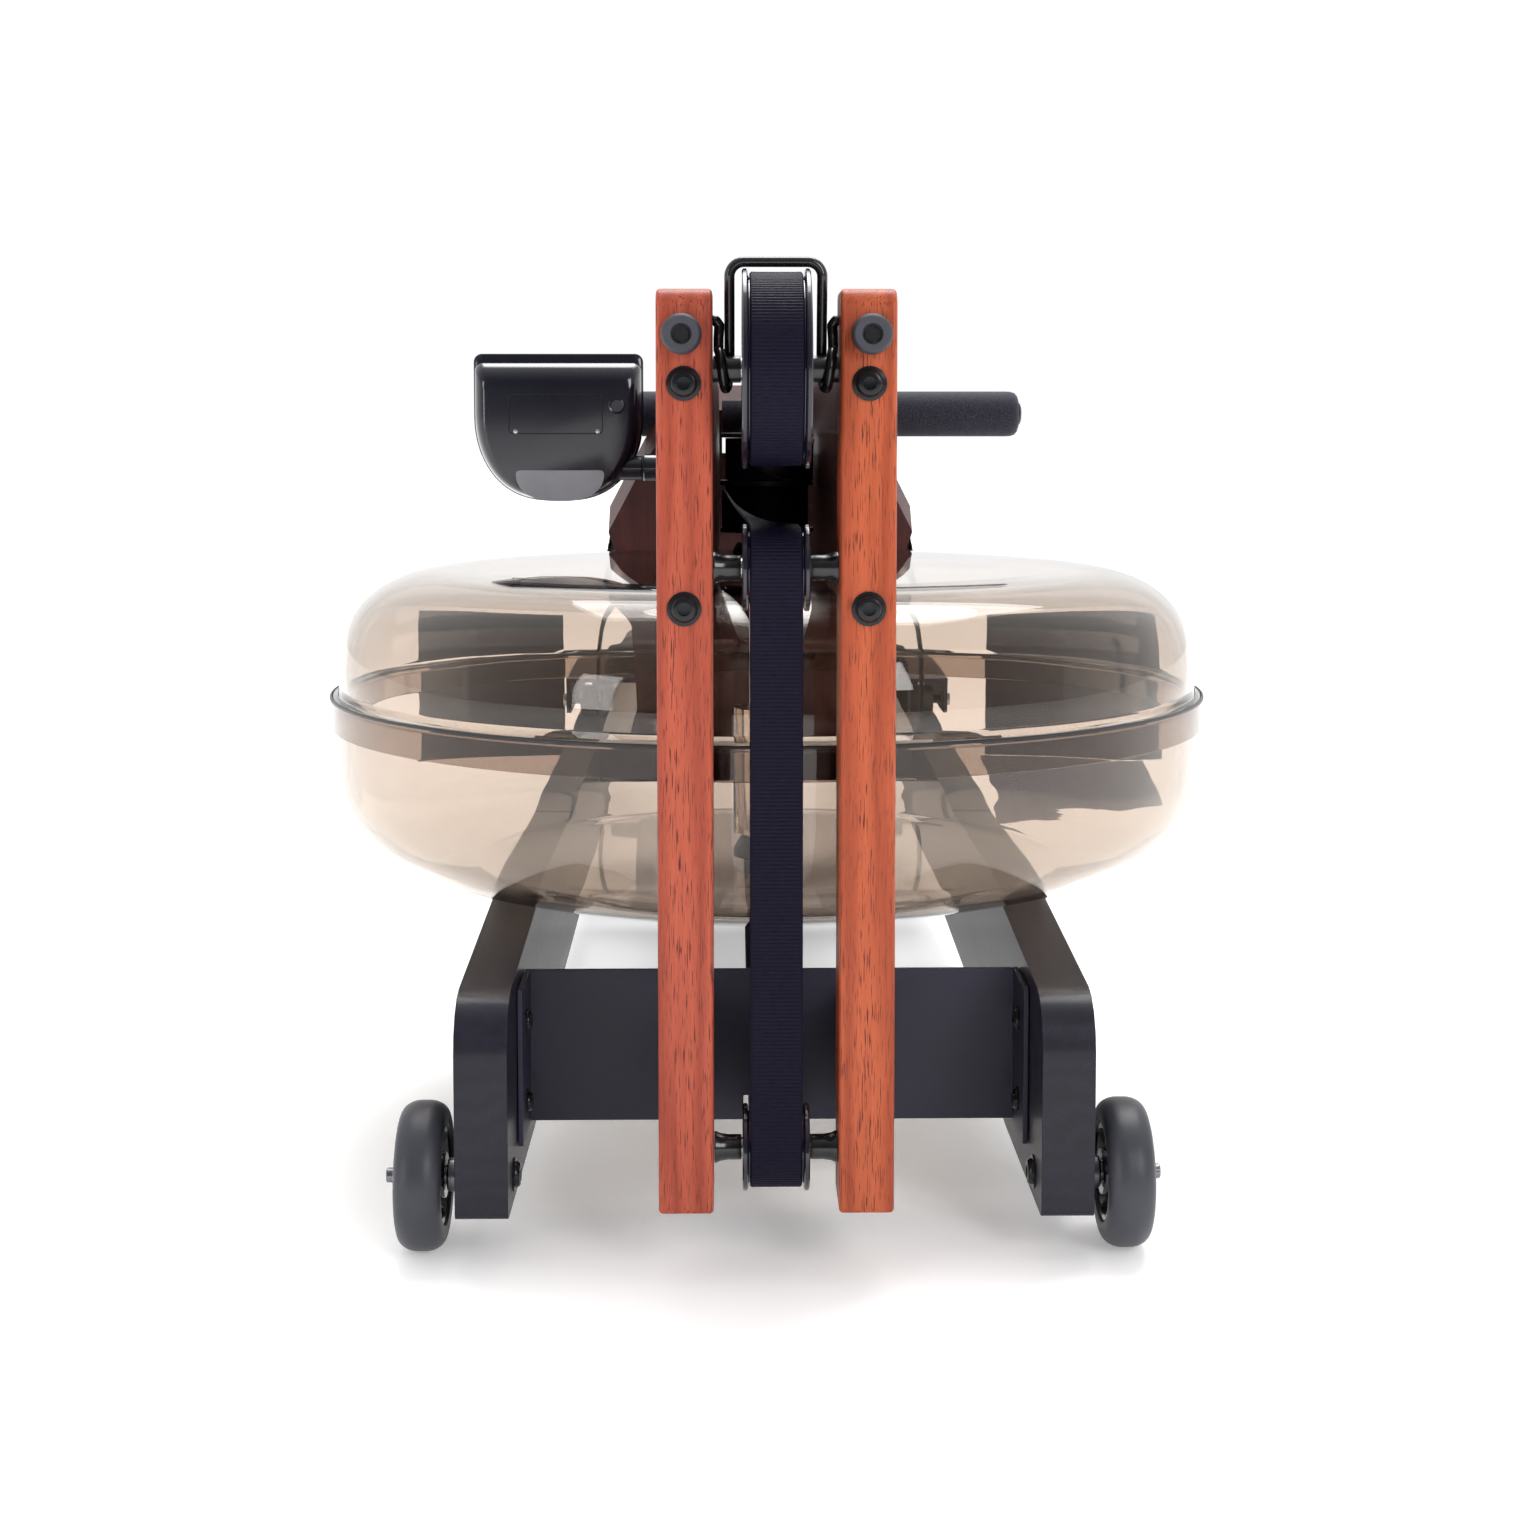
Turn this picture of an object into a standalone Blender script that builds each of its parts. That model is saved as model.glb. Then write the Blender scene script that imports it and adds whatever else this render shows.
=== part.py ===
"""Water-resistance rowing machine with a timber frame.

Metres, +Z up. The tank end looks along -Y and the seat slides back along +Y. The origin
is the middle of the bounding box at floor level. "Left" means the -X side.
"""

import math

import bmesh
import bpy
from mathutils import Matrix, Vector

# Overall layout. Distances "behind" are measured back from the front face of the risers.
FRONT_END = -0.0293
REAR_END = 2.0595
RISER_FRONT_Y = -(FRONT_END + REAR_END) / 2
GAP = 0.0003
BOARD = 0.0285
RAIL_SLOPE = math.radians(2.0)
SHARP_ANGLE = math.radians(35)

# Upright risers and the deck beams that run back from them over the tank.
RISER_INNER_X = 0.0325
RISER_DEPTH = 0.045
RISER_BOTTOM_Z = 0.039
RISER_TOP_Z = 0.516
BEAM_BOTTOM_Z = 0.356
BEAM_TOP_Z = 0.484
BUMPER_RADIUS = 0.01025
BUMPER_LENGTH = 0.009
BUMPER_Z = 0.4927

# Side rails.
RAIL_INNER_X = 0.142
RAIL_FRONT = 0.032
RAIL_FRONT_TOP_Z = 0.142
RAIL_FRONT_BOTTOM_Z = 0.025
RAIL_DEPTH = 0.095
FOOT_HEIGHT = 0.012
TANK_SEAT_FRONT = 0.256
TANK_SEAT_REAR = 0.52

# Transport wheels.
WHEEL_RADIUS = 0.040
WHEEL_INNER_X = 0.178
WHEEL_OUTER_X = 0.203
WHEEL_BEHIND = 0.063
WHEEL_AXLE_RADIUS = 0.005
WHEEL_AXLE_END_X = 0.211

# Tank, its rotor and the strap drum, all on one vertical axis.
TANK_BEHIND = 0.335
TANK_RIM_RADIUS = 0.2825
TANK_BOTTOM_Z = 0.158
TANK_RIM_LOW_Z = 0.2565
TANK_SPLIT_Z = 0.2725
TANK_RIM_HIGH_Z = 0.2765
TANK_TOP_Z = 0.3555
TANK_WALL = 0.004
TANK_STEPS = 36
SHAFT_RADIUS = 0.0115
SHAFT_BORE = SHAFT_RADIUS + GAP
SHAFT_BOTTOM_Z = TANK_BOTTOM_Z + 0.0065
SHAFT_TOP_Z = 0.450
PADDLE_REACH = 0.195
PLUG_X = 0.0795
PLUG_BEHIND = TANK_BEHIND + 0.170
PLUG_RADIUS = 0.0125
DRUM_RADIUS = 0.0271
DRUM_FLANGE_RADIUS = 0.0305
ROW_STRAP_Z = 0.425
RECOIL_STRAP_Z = 0.3943

# Pulleys between the risers, all on axles along X.
PULLEY_BEHIND = 0.022
TOP_PULLEY_Z = 0.4757
TOP_PULLEY_CORE = 0.0475
TOP_PULLEY_FLANGE = 0.0513
RECOIL_TOP_Z = 0.3736
RECOIL_BOTTOM_Z = 0.068
RECOIL_CORE = 0.0185
RECOIL_FLANGE = 0.0225
PULLEY_HALF_WIDTH = 0.0175
STRAP_WIDTH = 0.0272
STRAP_THICKNESS = 0.0018
STRAP_OFFSET = GAP + STRAP_THICKNESS / 2
TOP_AXLE_RADIUS = 0.006
RECOIL_AXLE_RADIUS = 0.005
GUARD_WIRE_RADIUS = 0.0027
GUARD_LEG_X = 0.0238
GUARD_TOP_Z = 0.5304
GUARD_COIL_RADIUS = 0.0098

# Recoil run under the seat: strap, clip and bungee round a rear pulley.
CLIP_BEHIND = 1.45
CLIP_LENGTH = 0.04
BUNGEE_RADIUS = 0.004
BUNGEE_PULLEY_BEHIND = 1.84
BUNGEE_PULLEY_Z = 0.142
BUNGEE_PULLEY_CORE = 0.016
BUNGEE_ANCHOR_BEHIND = 0.8785

# Footboard, tilted back, with its heel rests and foot straps.
FOOTBOARD_TILT = math.radians(48)
FOOTBOARD_BEHIND = 0.580
FOOTBOARD_Z = 0.4583
FOOTBOARD_LENGTH = 0.400
WINDOW_HALF_WIDTH = 0.0305
WINDOW_LOW_Z = 0.425
WINDOW_HIGH_Z = 0.4655
HEEL_REST_X = 0.070
HEEL_REST_HALF_WIDTH = 0.045
FOOT_STRAP_DOWN = 0.165
FOOT_STRAP_WIDTH = 0.038

# Handle, parked against the footboard.
HANDLE_BEHIND = 0.6504
HANDLE_Z = 0.4557
HANDLE_RADIUS = 0.01775
HANDLE_CORE_RADIUS = 0.0105
HANDLE_HALF_LENGTH = 0.206
HANDLE_GROOVE = 0.0135

# Seat on four rollers.
SEAT_BEHIND = 1.05
ROLLER_RADIUS = 0.016
ROLLER_HALF_WIDTH = 0.011
ROLLER_SPREAD = 0.085
SEAT_PLATE_Z = 0.038
SEAT_PAD_HEIGHT = 0.050

# Monitor on its side arm.
MONITOR_X = -0.156
MONITOR_BEHIND = 0.583
MONITOR_DEPTH = 0.0290
MONITOR_TOP_Z = 0.5015
MONITOR_BOTTOM_Z = 0.3885
MONITOR_HALF_WIDTH = 0.065
MONITOR_ARM_Z = 0.414
MONITOR_ARM_RADIUS = 0.0105
BUTTON_RADIUS = 0.005
BUTTON_SPACING = 0.022
BUTTON_Z = 0.414

# Finishes: base colour, roughness, metallic.
ROSEWOOD = ((0.42, 0.13, 0.055), 0.42, 0.0)
BLACK_WOOD = ((0.018, 0.017, 0.018), 0.35, 0.0)
BLACK_METAL = ((0.016, 0.017, 0.022), 0.40, 0.6)
STEEL = ((0.60, 0.60, 0.62), 0.28, 1.0)
BLACK_PLASTIC = ((0.014, 0.014, 0.016), 0.30, 0.0)
SMOKED_PLASTIC = ((0.55, 0.44, 0.36), 0.08, 0.0)
WEBBING = ((0.015, 0.015, 0.017), 0.80, 0.0)
FOAM = ((0.025, 0.026, 0.028), 0.90, 0.0)
RUBBER = ((0.028, 0.029, 0.031), 0.75, 0.0)
GREY_RUBBER = ((0.055, 0.058, 0.062), 0.70, 0.0)
SEAT_COVER = ((0.020, 0.020, 0.022), 0.65, 0.0)

X_AXIS = Vector((1, 0, 0))
Y_AXIS = Vector((0, 1, 0))
Z_AXIS = Vector((0, 0, 1))
SIDES = (("left", -1), ("right", 1))


def behind(distance):
    """The Y of a point that distance behind the risers' front face."""
    return RISER_FRONT_Y + distance


def rail_top(distance):
    """Height of the rails' sloping top edge."""
    return RAIL_FRONT_TOP_Z + (distance - 0.05) * math.tan(RAIL_SLOPE)


# ---------------------------------------------------------------- modelling helpers


def clear_scene():
    for item in list(bpy.data.objects):
        bpy.data.objects.remove(item, do_unlink=True)


def make_material(name, finish):
    colour, roughness, metallic = finish
    material = bpy.data.materials.new(name)
    material.use_nodes = True
    shader = material.node_tree.nodes["Principled BSDF"]
    shader.inputs["Base Color"].default_value = (*colour, 1.0)
    shader.inputs["Roughness"].default_value = roughness
    shader.inputs["Metallic"].default_value = metallic
    return material


def add_object(name, bm, finish, origin=(0, 0, 0), tilt=0.0):
    """Make an object from a mesh built in world space, or round origin when tilted about X."""
    bmesh.ops.recalc_face_normals(bm, faces=bm.faces)
    if not tilt:
        bmesh.ops.translate(bm, verts=bm.verts, vec=-Vector(origin))
    mesh = bpy.data.meshes.new(name)
    bm.to_mesh(mesh)
    bm.free()
    mesh.shade_smooth()
    mesh.set_sharp_from_angle(angle=SHARP_ANGLE)
    item = bpy.data.objects.new(name, mesh)
    item.location = origin
    item.rotation_euler.x = tilt
    item.data.materials.append(make_material(name, finish))
    bpy.context.scene.collection.objects.link(item)
    return item


def rounded(corners, steps=4):
    """An outline through (a, b, radius) corners, each turned by an arc of its radius."""
    outline = []
    for index, (a, b, radius) in enumerate(corners):
        corner = Vector((a, b))
        if radius <= 0:
            outline.append(tuple(corner))
            continue
        before = Vector(corners[index - 1][:2]) - corner
        after = Vector(corners[(index + 1) % len(corners)][:2]) - corner
        before.normalize()
        after.normalize()
        half = before.angle(after) / 2
        reach = radius / math.tan(half)
        centre = corner + (before + after).normalized() * (radius / math.sin(half))
        start = corner + before * reach - centre
        sweep = start.angle_signed(corner + after * reach - centre)
        for step in range(steps + 1):
            turn = Matrix.Rotation(-sweep * step / steps, 2)
            outline.append(tuple(centre + turn @ start))
    return outline


def prism(outline, axis, low, high):
    """Extrude an outline along X (points are y, z), Y (x, z) or Z (x, y)."""
    place = {
        "X": lambda a, b: (low, a, b),
        "Y": lambda a, b: (a, low, b),
        "Z": lambda a, b: (a, b, low),
    }[axis]
    along = {"X": X_AXIS, "Y": Y_AXIS, "Z": Z_AXIS}[axis]
    bm = bmesh.new()
    face = bm.faces.new([bm.verts.new(place(a, b)) for a, b in outline])
    grown = bmesh.ops.extrude_face_region(bm, geom=[face])["geom"]
    moved = [part for part in grown if isinstance(part, bmesh.types.BMVert)]
    bmesh.ops.translate(bm, verts=moved, vec=along * (high - low))
    return bm


def box(low, high):
    """A plain block between two corners."""
    outline = [(low[0], low[1]), (high[0], low[1]), (high[0], high[1]), (low[0], high[1])]
    return prism(outline, "Z", low[2], high[2])


def turned(profile, axis, centre, steps=24):
    """Spin a (radius, along) outline round an axis; one that starts and ends at radius 0 is solid."""
    along = {"X": X_AXIS, "Y": Y_AXIS, "Z": Z_AXIS}[axis]
    side = X_AXIS if axis == "Z" else Z_AXIS
    centre = Vector(centre)
    bm = bmesh.new()
    verts = [bm.verts.new(centre + side * radius + along * step) for radius, step in profile]
    edges = [bm.edges.new(pair) for pair in zip(verts, verts[1:])]
    if profile[0][0] > 0:
        edges.append(bm.edges.new((verts[-1], verts[0])))
    bmesh.ops.spin(
        bm, geom=verts + edges, cent=centre, axis=along, angle=2 * math.pi, steps=steps,
        use_merge=True,
    )
    bmesh.ops.remove_doubles(bm, verts=bm.verts, dist=1e-6)
    return bm


def ring(inner, outer, low, high, chamfer=0.0):
    """Profile of a round piece with a bore, with its outer corners cut by a chamfer."""
    if chamfer <= 0:
        return [(inner, low), (outer, low), (outer, high), (inner, high)]
    return [
        (inner, low), (outer - chamfer, low), (outer, low + chamfer),
        (outer, high - chamfer), (outer - chamfer, high), (inner, high),
    ]


def pulley_profile(bore, core, flange, half_width):
    """Profile of a strap pulley: a flat core between two thin flanges."""
    wall = 0.0030
    return [
        (bore, -half_width), (flange, -half_width), (flange, wall - half_width),
        (core, wall - half_width), (core, half_width - wall), (flange, half_width - wall),
        (flange, half_width), (bore, half_width),
    ]


def ribbon(stations):
    """Sweep a strap's flat section through (centre, width direction, thickness direction)."""
    bm = bmesh.new()
    loops = []
    for centre, across, through in stations:
        half_w = Vector(across) * STRAP_WIDTH / 2
        half_t = Vector(through) * STRAP_THICKNESS / 2
        corners = [half_w + half_t, half_w - half_t, -half_w - half_t, -half_w + half_t]
        loops.append([bm.verts.new(Vector(centre) + corner) for corner in corners])
    for first, second in zip(loops, loops[1:]):
        for index in range(4):
            after = (index + 1) % 4
            bm.faces.new((first[index], first[after], second[after], second[index]))
    bm.faces.new(loops[0])
    bm.faces.new(loops[-1])
    return bm


def add_tube(name, points, radius, finish, origin=(0, 0, 0), resolution=2):
    """A round cord or wire with closed ends through the points."""
    curve = bpy.data.curves.new(name, "CURVE")
    curve.dimensions = "3D"
    curve.bevel_depth = radius
    curve.bevel_resolution = resolution
    curve.use_fill_caps = True
    spline = curve.splines.new("POLY")
    spline.points.add(len(points) - 1)
    for target, point in zip(spline.points, points):
        target.co = (*(Vector(point) - Vector(origin)), 1.0)
    item = bpy.data.objects.new(name, curve)
    item.location = origin
    curve.materials.append(make_material(name, finish))
    bpy.context.scene.collection.objects.link(item)
    return item


def combine(bm, tool_bm, operation):
    """Boolean one mesh with another and return the result as a new mesh."""
    objects = []
    for source in (bm, tool_bm):
        bmesh.ops.recalc_face_normals(source, faces=source.faces)
        mesh = bpy.data.meshes.new("working")
        source.to_mesh(mesh)
        source.free()
        objects.append(bpy.data.objects.new("working", mesh))
        bpy.context.scene.collection.objects.link(objects[-1])
    base, tool = objects
    modifier = base.modifiers.new("combine", "BOOLEAN")
    modifier.operation = operation
    modifier.object = tool
    bpy.context.view_layer.update()
    result = bmesh.new()
    result.from_object(base, bpy.context.evaluated_depsgraph_get())
    for item in objects:
        bpy.data.objects.remove(item, do_unlink=True)
    return result


def tilted(bm, origin, tilt):
    """Turn a mesh about X by tilt and move it to origin."""
    bmesh.ops.transform(bm, matrix=Matrix.Translation(origin) @ Matrix.Rotation(tilt, 4, "X"),
                        verts=bm.verts)
    return bm


# ---------------------------------------------------------------- timber frame


def add_risers_and_beams():
    riser = rounded([
        (behind(0), RISER_BOTTOM_Z, 0.003), (behind(RISER_DEPTH), RISER_BOTTOM_Z, 0.003),
        (behind(RISER_DEPTH), RISER_TOP_Z, 0.006), (behind(0), RISER_TOP_Z, 0.010),
    ])
    board_lean = math.tan(FOOTBOARD_TILT)
    beam_end = FOOTBOARD_BEHIND - GAP * 2
    beam = [
        (behind(RISER_DEPTH + GAP), BEAM_BOTTOM_Z),
        (behind(beam_end + (FOOTBOARD_Z - BEAM_BOTTOM_Z) / board_lean), BEAM_BOTTOM_Z),
        (behind(beam_end), FOOTBOARD_Z),
        (behind(beam_end), BEAM_TOP_Z),
        (behind(RISER_DEPTH + GAP), BEAM_TOP_Z),
    ]
    for side, sign in SIDES:
        low, high = sorted((sign * RISER_INNER_X, sign * (RISER_INNER_X + BOARD)))
        add_object(f"{side}_riser", prism(riser, "X", low, high), ROSEWOOD)
        add_object(f"{side}_deck_beam", prism(beam, "X", low, high), ROSEWOOD)


def add_bumpers():
    """Rubber buffers with a recess, which the machine stands against when stored upright."""
    recess_radius = 0.0050
    recess_depth = 0.005
    profile = [
        (0, 0), (BUMPER_RADIUS, 0), (BUMPER_RADIUS, 0.001 - BUMPER_LENGTH),
        (BUMPER_RADIUS - 0.001, -BUMPER_LENGTH), (recess_radius, -BUMPER_LENGTH),
        (recess_radius, recess_depth - BUMPER_LENGTH), (0, recess_depth - BUMPER_LENGTH),
    ]
    for side, sign in SIDES:
        centre = (sign * (RISER_INNER_X + BOARD * 0.54), behind(-GAP), BUMPER_Z)
        add_object(f"{side}_bumper", turned(profile, "Y", centre, 16), GREY_RUBBER)


def rail_outline():
    """Side view of a rail: a seat for the tank on top and a foot at the rear end."""
    seat_z = TANK_BOTTOM_Z - GAP
    leg_front = REAR_END - 0.13
    rear_top_z = rail_top(REAR_END)
    return rounded([
        (behind(RAIL_FRONT), RAIL_FRONT_BOTTOM_Z, 0.004),
        (behind(0.20), RAIL_FRONT_BOTTOM_Z, 0.060),
        (behind(0.34), rail_top(0.34) - RAIL_DEPTH, 0.060),
        (behind(leg_front - 0.06), rail_top(leg_front) - RAIL_DEPTH, 0.040),
        (behind(leg_front), FOOT_HEIGHT, 0.010),
        (behind(REAR_END), FOOT_HEIGHT, 0.006),
        (behind(REAR_END), rear_top_z, 0.025),
        (behind(TANK_SEAT_REAR), rail_top(TANK_SEAT_REAR), 0),
        (behind(TANK_SEAT_REAR), seat_z, 0),
        (behind(TANK_SEAT_FRONT), seat_z, 0),
        (behind(RAIL_FRONT), RAIL_FRONT_TOP_Z, 0.030),
    ])


def add_rails_and_feet():
    outline = rail_outline()
    foot_front = behind(REAR_END - 0.112)
    foot_rear = behind(REAR_END - 0.012)
    for side, sign in SIDES:
        low, high = sorted((sign * RAIL_INNER_X, sign * (RAIL_INNER_X + BOARD)))
        add_object(f"{side}_rail", prism(outline, "X", low, high), BLACK_WOOD)
        foot = box((low + 0.002, foot_front, 0), (high - 0.002, foot_rear, FOOT_HEIGHT - GAP))
        add_object(f"{side}_rear_foot", foot, RUBBER)


def add_cross_members():
    """The pieces that tie the rails together; the front one also holds the risers' feet."""
    inner = RAIL_INNER_X - GAP
    plate_y = behind(0.133)
    flange_y = behind(0.086)
    sheet = 0.003
    channel = [
        (-inner, flange_y), (-inner + sheet, flange_y), (-inner + sheet, plate_y),
        (inner - sheet, plate_y), (inner - sheet, flange_y), (inner, flange_y),
        (inner, plate_y + sheet), (-inner, plate_y + sheet),
    ]
    notch = box((-0.0165, plate_y - 0.01, 0.03), (0.0165, plate_y + 0.02, 0.062))
    plate = combine(prism(channel, "Z", 0.0478, 0.136), notch, "DIFFERENCE")
    for _, sign in SIDES:
        low, high = sorted((sign * 0.0400, sign * 0.0535))
        arm = box((low, behind(RISER_DEPTH + GAP), 0.060), (high, plate_y + sheet / 2, 0.125))
        plate = combine(plate, arm, "UNION")
    add_object("front_cross_plate", plate, BLACK_METAL)
    crossbar = box((-inner, behind(0.848), 0.118), (inner, behind(0.878), 0.1605))
    add_object("footboard_crossbar", crossbar, BLACK_WOOD)
    spacer = box((-inner, behind(1.90), 0.112), (inner, behind(1.9285), 0.200))
    add_object("rear_spacer", spacer, BLACK_WOOD)


# ---------------------------------------------------------------- tank and rotor


def walled(points):
    """Close an outer wall's (radius, height) points with an inner wall one thickness in."""
    inner = []
    for index, (radius, height) in enumerate(points):
        before = Vector(points[max(index - 1, 0)])
        after = Vector(points[min(index + 1, len(points) - 1)])
        run = (after - before).normalized()
        inner.append((radius - run.y * TANK_WALL, height + run.x * TANK_WALL))
    return inner[::-1]


def add_tank():
    """Two clear shells with rims that meet at the seam; the upper one has a filler hole."""
    centre = (0, behind(TANK_BEHIND), 0)
    belly = TANK_RIM_RADIUS - 0.0015
    low = TANK_BOTTOM_Z
    outer = [
        (0, low), (0.190, low), (0.218, low + 0.007), (0.240, low + 0.0135),
        (0.2545, low + 0.0215), (0.2665, low + 0.032), (0.2755, low + 0.0465),
        (belly - 0.001, low + 0.064), (belly, TANK_RIM_LOW_Z),
    ]
    rim = [
        (TANK_RIM_RADIUS, TANK_RIM_LOW_Z), (TANK_RIM_RADIUS, TANK_SPLIT_Z - GAP),
        (belly - TANK_WALL, TANK_SPLIT_Z - GAP),
    ]
    lower = turned(outer + rim + walled(outer), "Z", centre, TANK_STEPS)
    add_object("tank_lower_shell", lower, SMOKED_PLASTIC)
    wall = TANK_RIM_RADIUS - 0.006
    high = TANK_TOP_Z
    rim = [(wall - TANK_WALL, TANK_SPLIT_Z), (TANK_RIM_RADIUS, TANK_SPLIT_Z),
           (TANK_RIM_RADIUS, TANK_RIM_HIGH_Z)]
    outer = [
        (wall, TANK_RIM_HIGH_Z), (wall - 0.002, high - 0.048), (wall - 0.012, high - 0.0245),
        (wall - 0.030, high - 0.0095), (wall - 0.055, high - 0.0015), (wall - 0.080, high),
        (SHAFT_BORE + 0.002, high),
    ]
    cutter_radius = PLUG_RADIUS + 2 * GAP
    cutter = turned([(0, -0.02), (cutter_radius, -0.02), (cutter_radius, 0.02), (0, 0.02)],
                    "Z", (PLUG_X, behind(PLUG_BEHIND), high), 16)
    upper = turned(rim + outer + walled(outer), "Z", centre, TANK_STEPS)
    add_object("tank_upper_shell", combine(upper, cutter, "DIFFERENCE"), SMOKED_PLASTIC)


def add_tank_plug():
    origin = (PLUG_X, behind(PLUG_BEHIND), TANK_TOP_Z)
    profile = [
        (0, -0.012), (PLUG_RADIUS, -0.012), (PLUG_RADIUS, GAP), (PLUG_RADIUS + 0.004, GAP),
        (PLUG_RADIUS + 0.004, 0.005), (PLUG_RADIUS + 0.002, 0.007), (0.007, 0.007),
        (0.007, 0.014), (0, 0.014),
    ]
    add_object("tank_plug", turned(profile, "Z", origin, 16), BLACK_PLASTIC, origin)


def add_bearings():
    centre = (0, behind(TANK_BEHIND), 0)
    top = ring(SHAFT_BORE, 0.026, TANK_TOP_Z + GAP, 0.3705, 0.004)
    add_object("top_bearing", turned(top, "Z", centre), BLACK_PLASTIC)
    low = TANK_BOTTOM_Z + TANK_WALL + GAP
    add_object("bottom_bearing", turned(ring(SHAFT_BORE, 0.022, low, 0.176, 0.004), "Z", centre),
               BLACK_PLASTIC)


def add_rotor():
    """The shaft, the two-bladed paddle on it and the strap drum on its one-way clutch."""
    origin = Vector((0, behind(TANK_BEHIND), 0))
    shaft = [
        (0, SHAFT_BOTTOM_Z), (SHAFT_RADIUS, SHAFT_BOTTOM_Z), (SHAFT_RADIUS, SHAFT_TOP_Z - 0.002),
        (SHAFT_RADIUS - 0.002, SHAFT_TOP_Z), (0, SHAFT_TOP_Z),
    ]
    add_object("paddle_shaft", turned(shaft, "Z", origin), STEEL, origin)
    hub_radius = 0.022
    half_blade = 0.002
    meet = math.acos(half_blade / hub_radius)
    outline = []
    for facing in (0, math.pi):
        for step in range(9):
            angle = facing - meet + 2 * meet * step / 8
            outline.append((hub_radius * math.cos(angle), hub_radius * math.sin(angle)))
        tip = PADDLE_REACH if facing == 0 else -PADDLE_REACH
        side = half_blade if facing == 0 else -half_blade
        outline += [(side, tip), (-side, tip)]
    outline = [(x, y + origin.y) for x, y in outline]
    bore = turned([(0, 0.1), (SHAFT_BORE, 0.1), (SHAFT_BORE, 0.4), (0, 0.4)], "Z", origin)
    paddle = combine(prism(outline, "Z", 0.179, 0.262), bore, "DIFFERENCE")
    add_object("paddle", paddle, SMOKED_PLASTIC, origin)
    half_strap = STRAP_WIDTH / 2 + GAP
    edges = [RECOIL_STRAP_Z - half_strap, RECOIL_STRAP_Z + half_strap,
             ROW_STRAP_Z - half_strap, ROW_STRAP_Z + half_strap]
    drum = [
        (SHAFT_BORE, edges[0] - 0.003), (DRUM_FLANGE_RADIUS, edges[0] - 0.003),
        (DRUM_FLANGE_RADIUS, edges[0]), (DRUM_RADIUS, edges[0]), (DRUM_RADIUS, edges[1]),
        (DRUM_FLANGE_RADIUS, edges[1]), (DRUM_FLANGE_RADIUS, edges[2]), (DRUM_RADIUS, edges[2]),
        (DRUM_RADIUS, edges[3]), (DRUM_FLANGE_RADIUS, edges[3]),
        (DRUM_FLANGE_RADIUS, edges[3] + 0.003), (SHAFT_BORE, edges[3] + 0.003),
    ]
    add_object("strap_drum", turned(drum, "Z", origin), BLACK_PLASTIC, origin)


# ---------------------------------------------------------------- pulleys and straps


def add_pulleys():
    y = behind(PULLEY_BEHIND)
    reach = RISER_INNER_X - GAP
    rows = (
        ("top_pulley", "top_pulley_axle", TOP_PULLEY_Z, TOP_PULLEY_CORE, TOP_PULLEY_FLANGE,
         TOP_AXLE_RADIUS, 36),
        ("upper_recoil_pulley", "upper_recoil_axle", RECOIL_TOP_Z, RECOIL_CORE, RECOIL_FLANGE,
         RECOIL_AXLE_RADIUS, 24),
        ("lower_recoil_pulley", "lower_recoil_axle", RECOIL_BOTTOM_Z, RECOIL_CORE, RECOIL_FLANGE,
         RECOIL_AXLE_RADIUS, 24),
    )
    for name, axle_name, z, core, flange, axle_radius, steps in rows:
        origin = (0, y, z)
        profile = pulley_profile(axle_radius + GAP, core, flange, PULLEY_HALF_WIDTH)
        add_object(name, turned(profile, "X", origin, steps), BLACK_PLASTIC, origin)
        axle = [(0, -reach), (axle_radius, -reach), (axle_radius, reach), (0, reach)]
        add_object(axle_name, turned(axle, "X", origin, steps), STEEL)


def twist_stations(sign, drum_z, pulley_z, steps=12):
    """The run from the drum's side to a pulley, turning the strap from upright to flat."""
    start = Vector((sign * (DRUM_RADIUS + STRAP_OFFSET), behind(TANK_BEHIND), drum_z))
    end = Vector((0, behind(PULLEY_BEHIND), pulley_z))
    stations = []
    for step in range(steps):
        part = step / steps
        twist = min(max((part - 0.09) / 0.81, 0), 1)
        ease = twist * twist * (3 - 2 * twist)
        turn = math.radians(90) * ease
        across = Vector((math.sin(turn), 0, sign * math.cos(turn)))
        through = Vector((math.cos(turn), 0, -sign * math.sin(turn)))
        centre = start.lerp(end, part)
        centre.x = start.x * (1 - ease)
        stations.append((centre, across, through))
    return stations


def wrap_stations(z, radius, first, last, steps):
    """Round a pulley: angles in degrees run from its underside (0) by its front (90) to its top."""
    stations = []
    for step in range(steps + 1):
        angle = math.radians(first + (last - first) * step / steps)
        outward = Vector((0, -math.sin(angle), -math.cos(angle)))
        centre = Vector((0, behind(PULLEY_BEHIND), z)) + outward * radius
        stations.append((centre, X_AXIS, outward))
    return stations


def straight_run(leaving, end, gap):
    """Two stations from just past a wrap's last station to a point."""
    start, across, _ = leaving
    run = (Vector(end) - start).normalized()
    through = run.cross(across)
    return [(start + run * gap, across, through), (Vector(end), across, through)]


def row_leave_angle():
    """Where the rowing strap leaves the top pulley to run straight to the handle."""
    run = HANDLE_BEHIND - PULLEY_BEHIND
    drop = TOP_PULLEY_Z - HANDLE_Z
    radius = TOP_PULLEY_CORE + STRAP_OFFSET
    return 180 + math.degrees(math.atan2(drop, run) + math.asin(radius / math.hypot(run, drop)))


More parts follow.
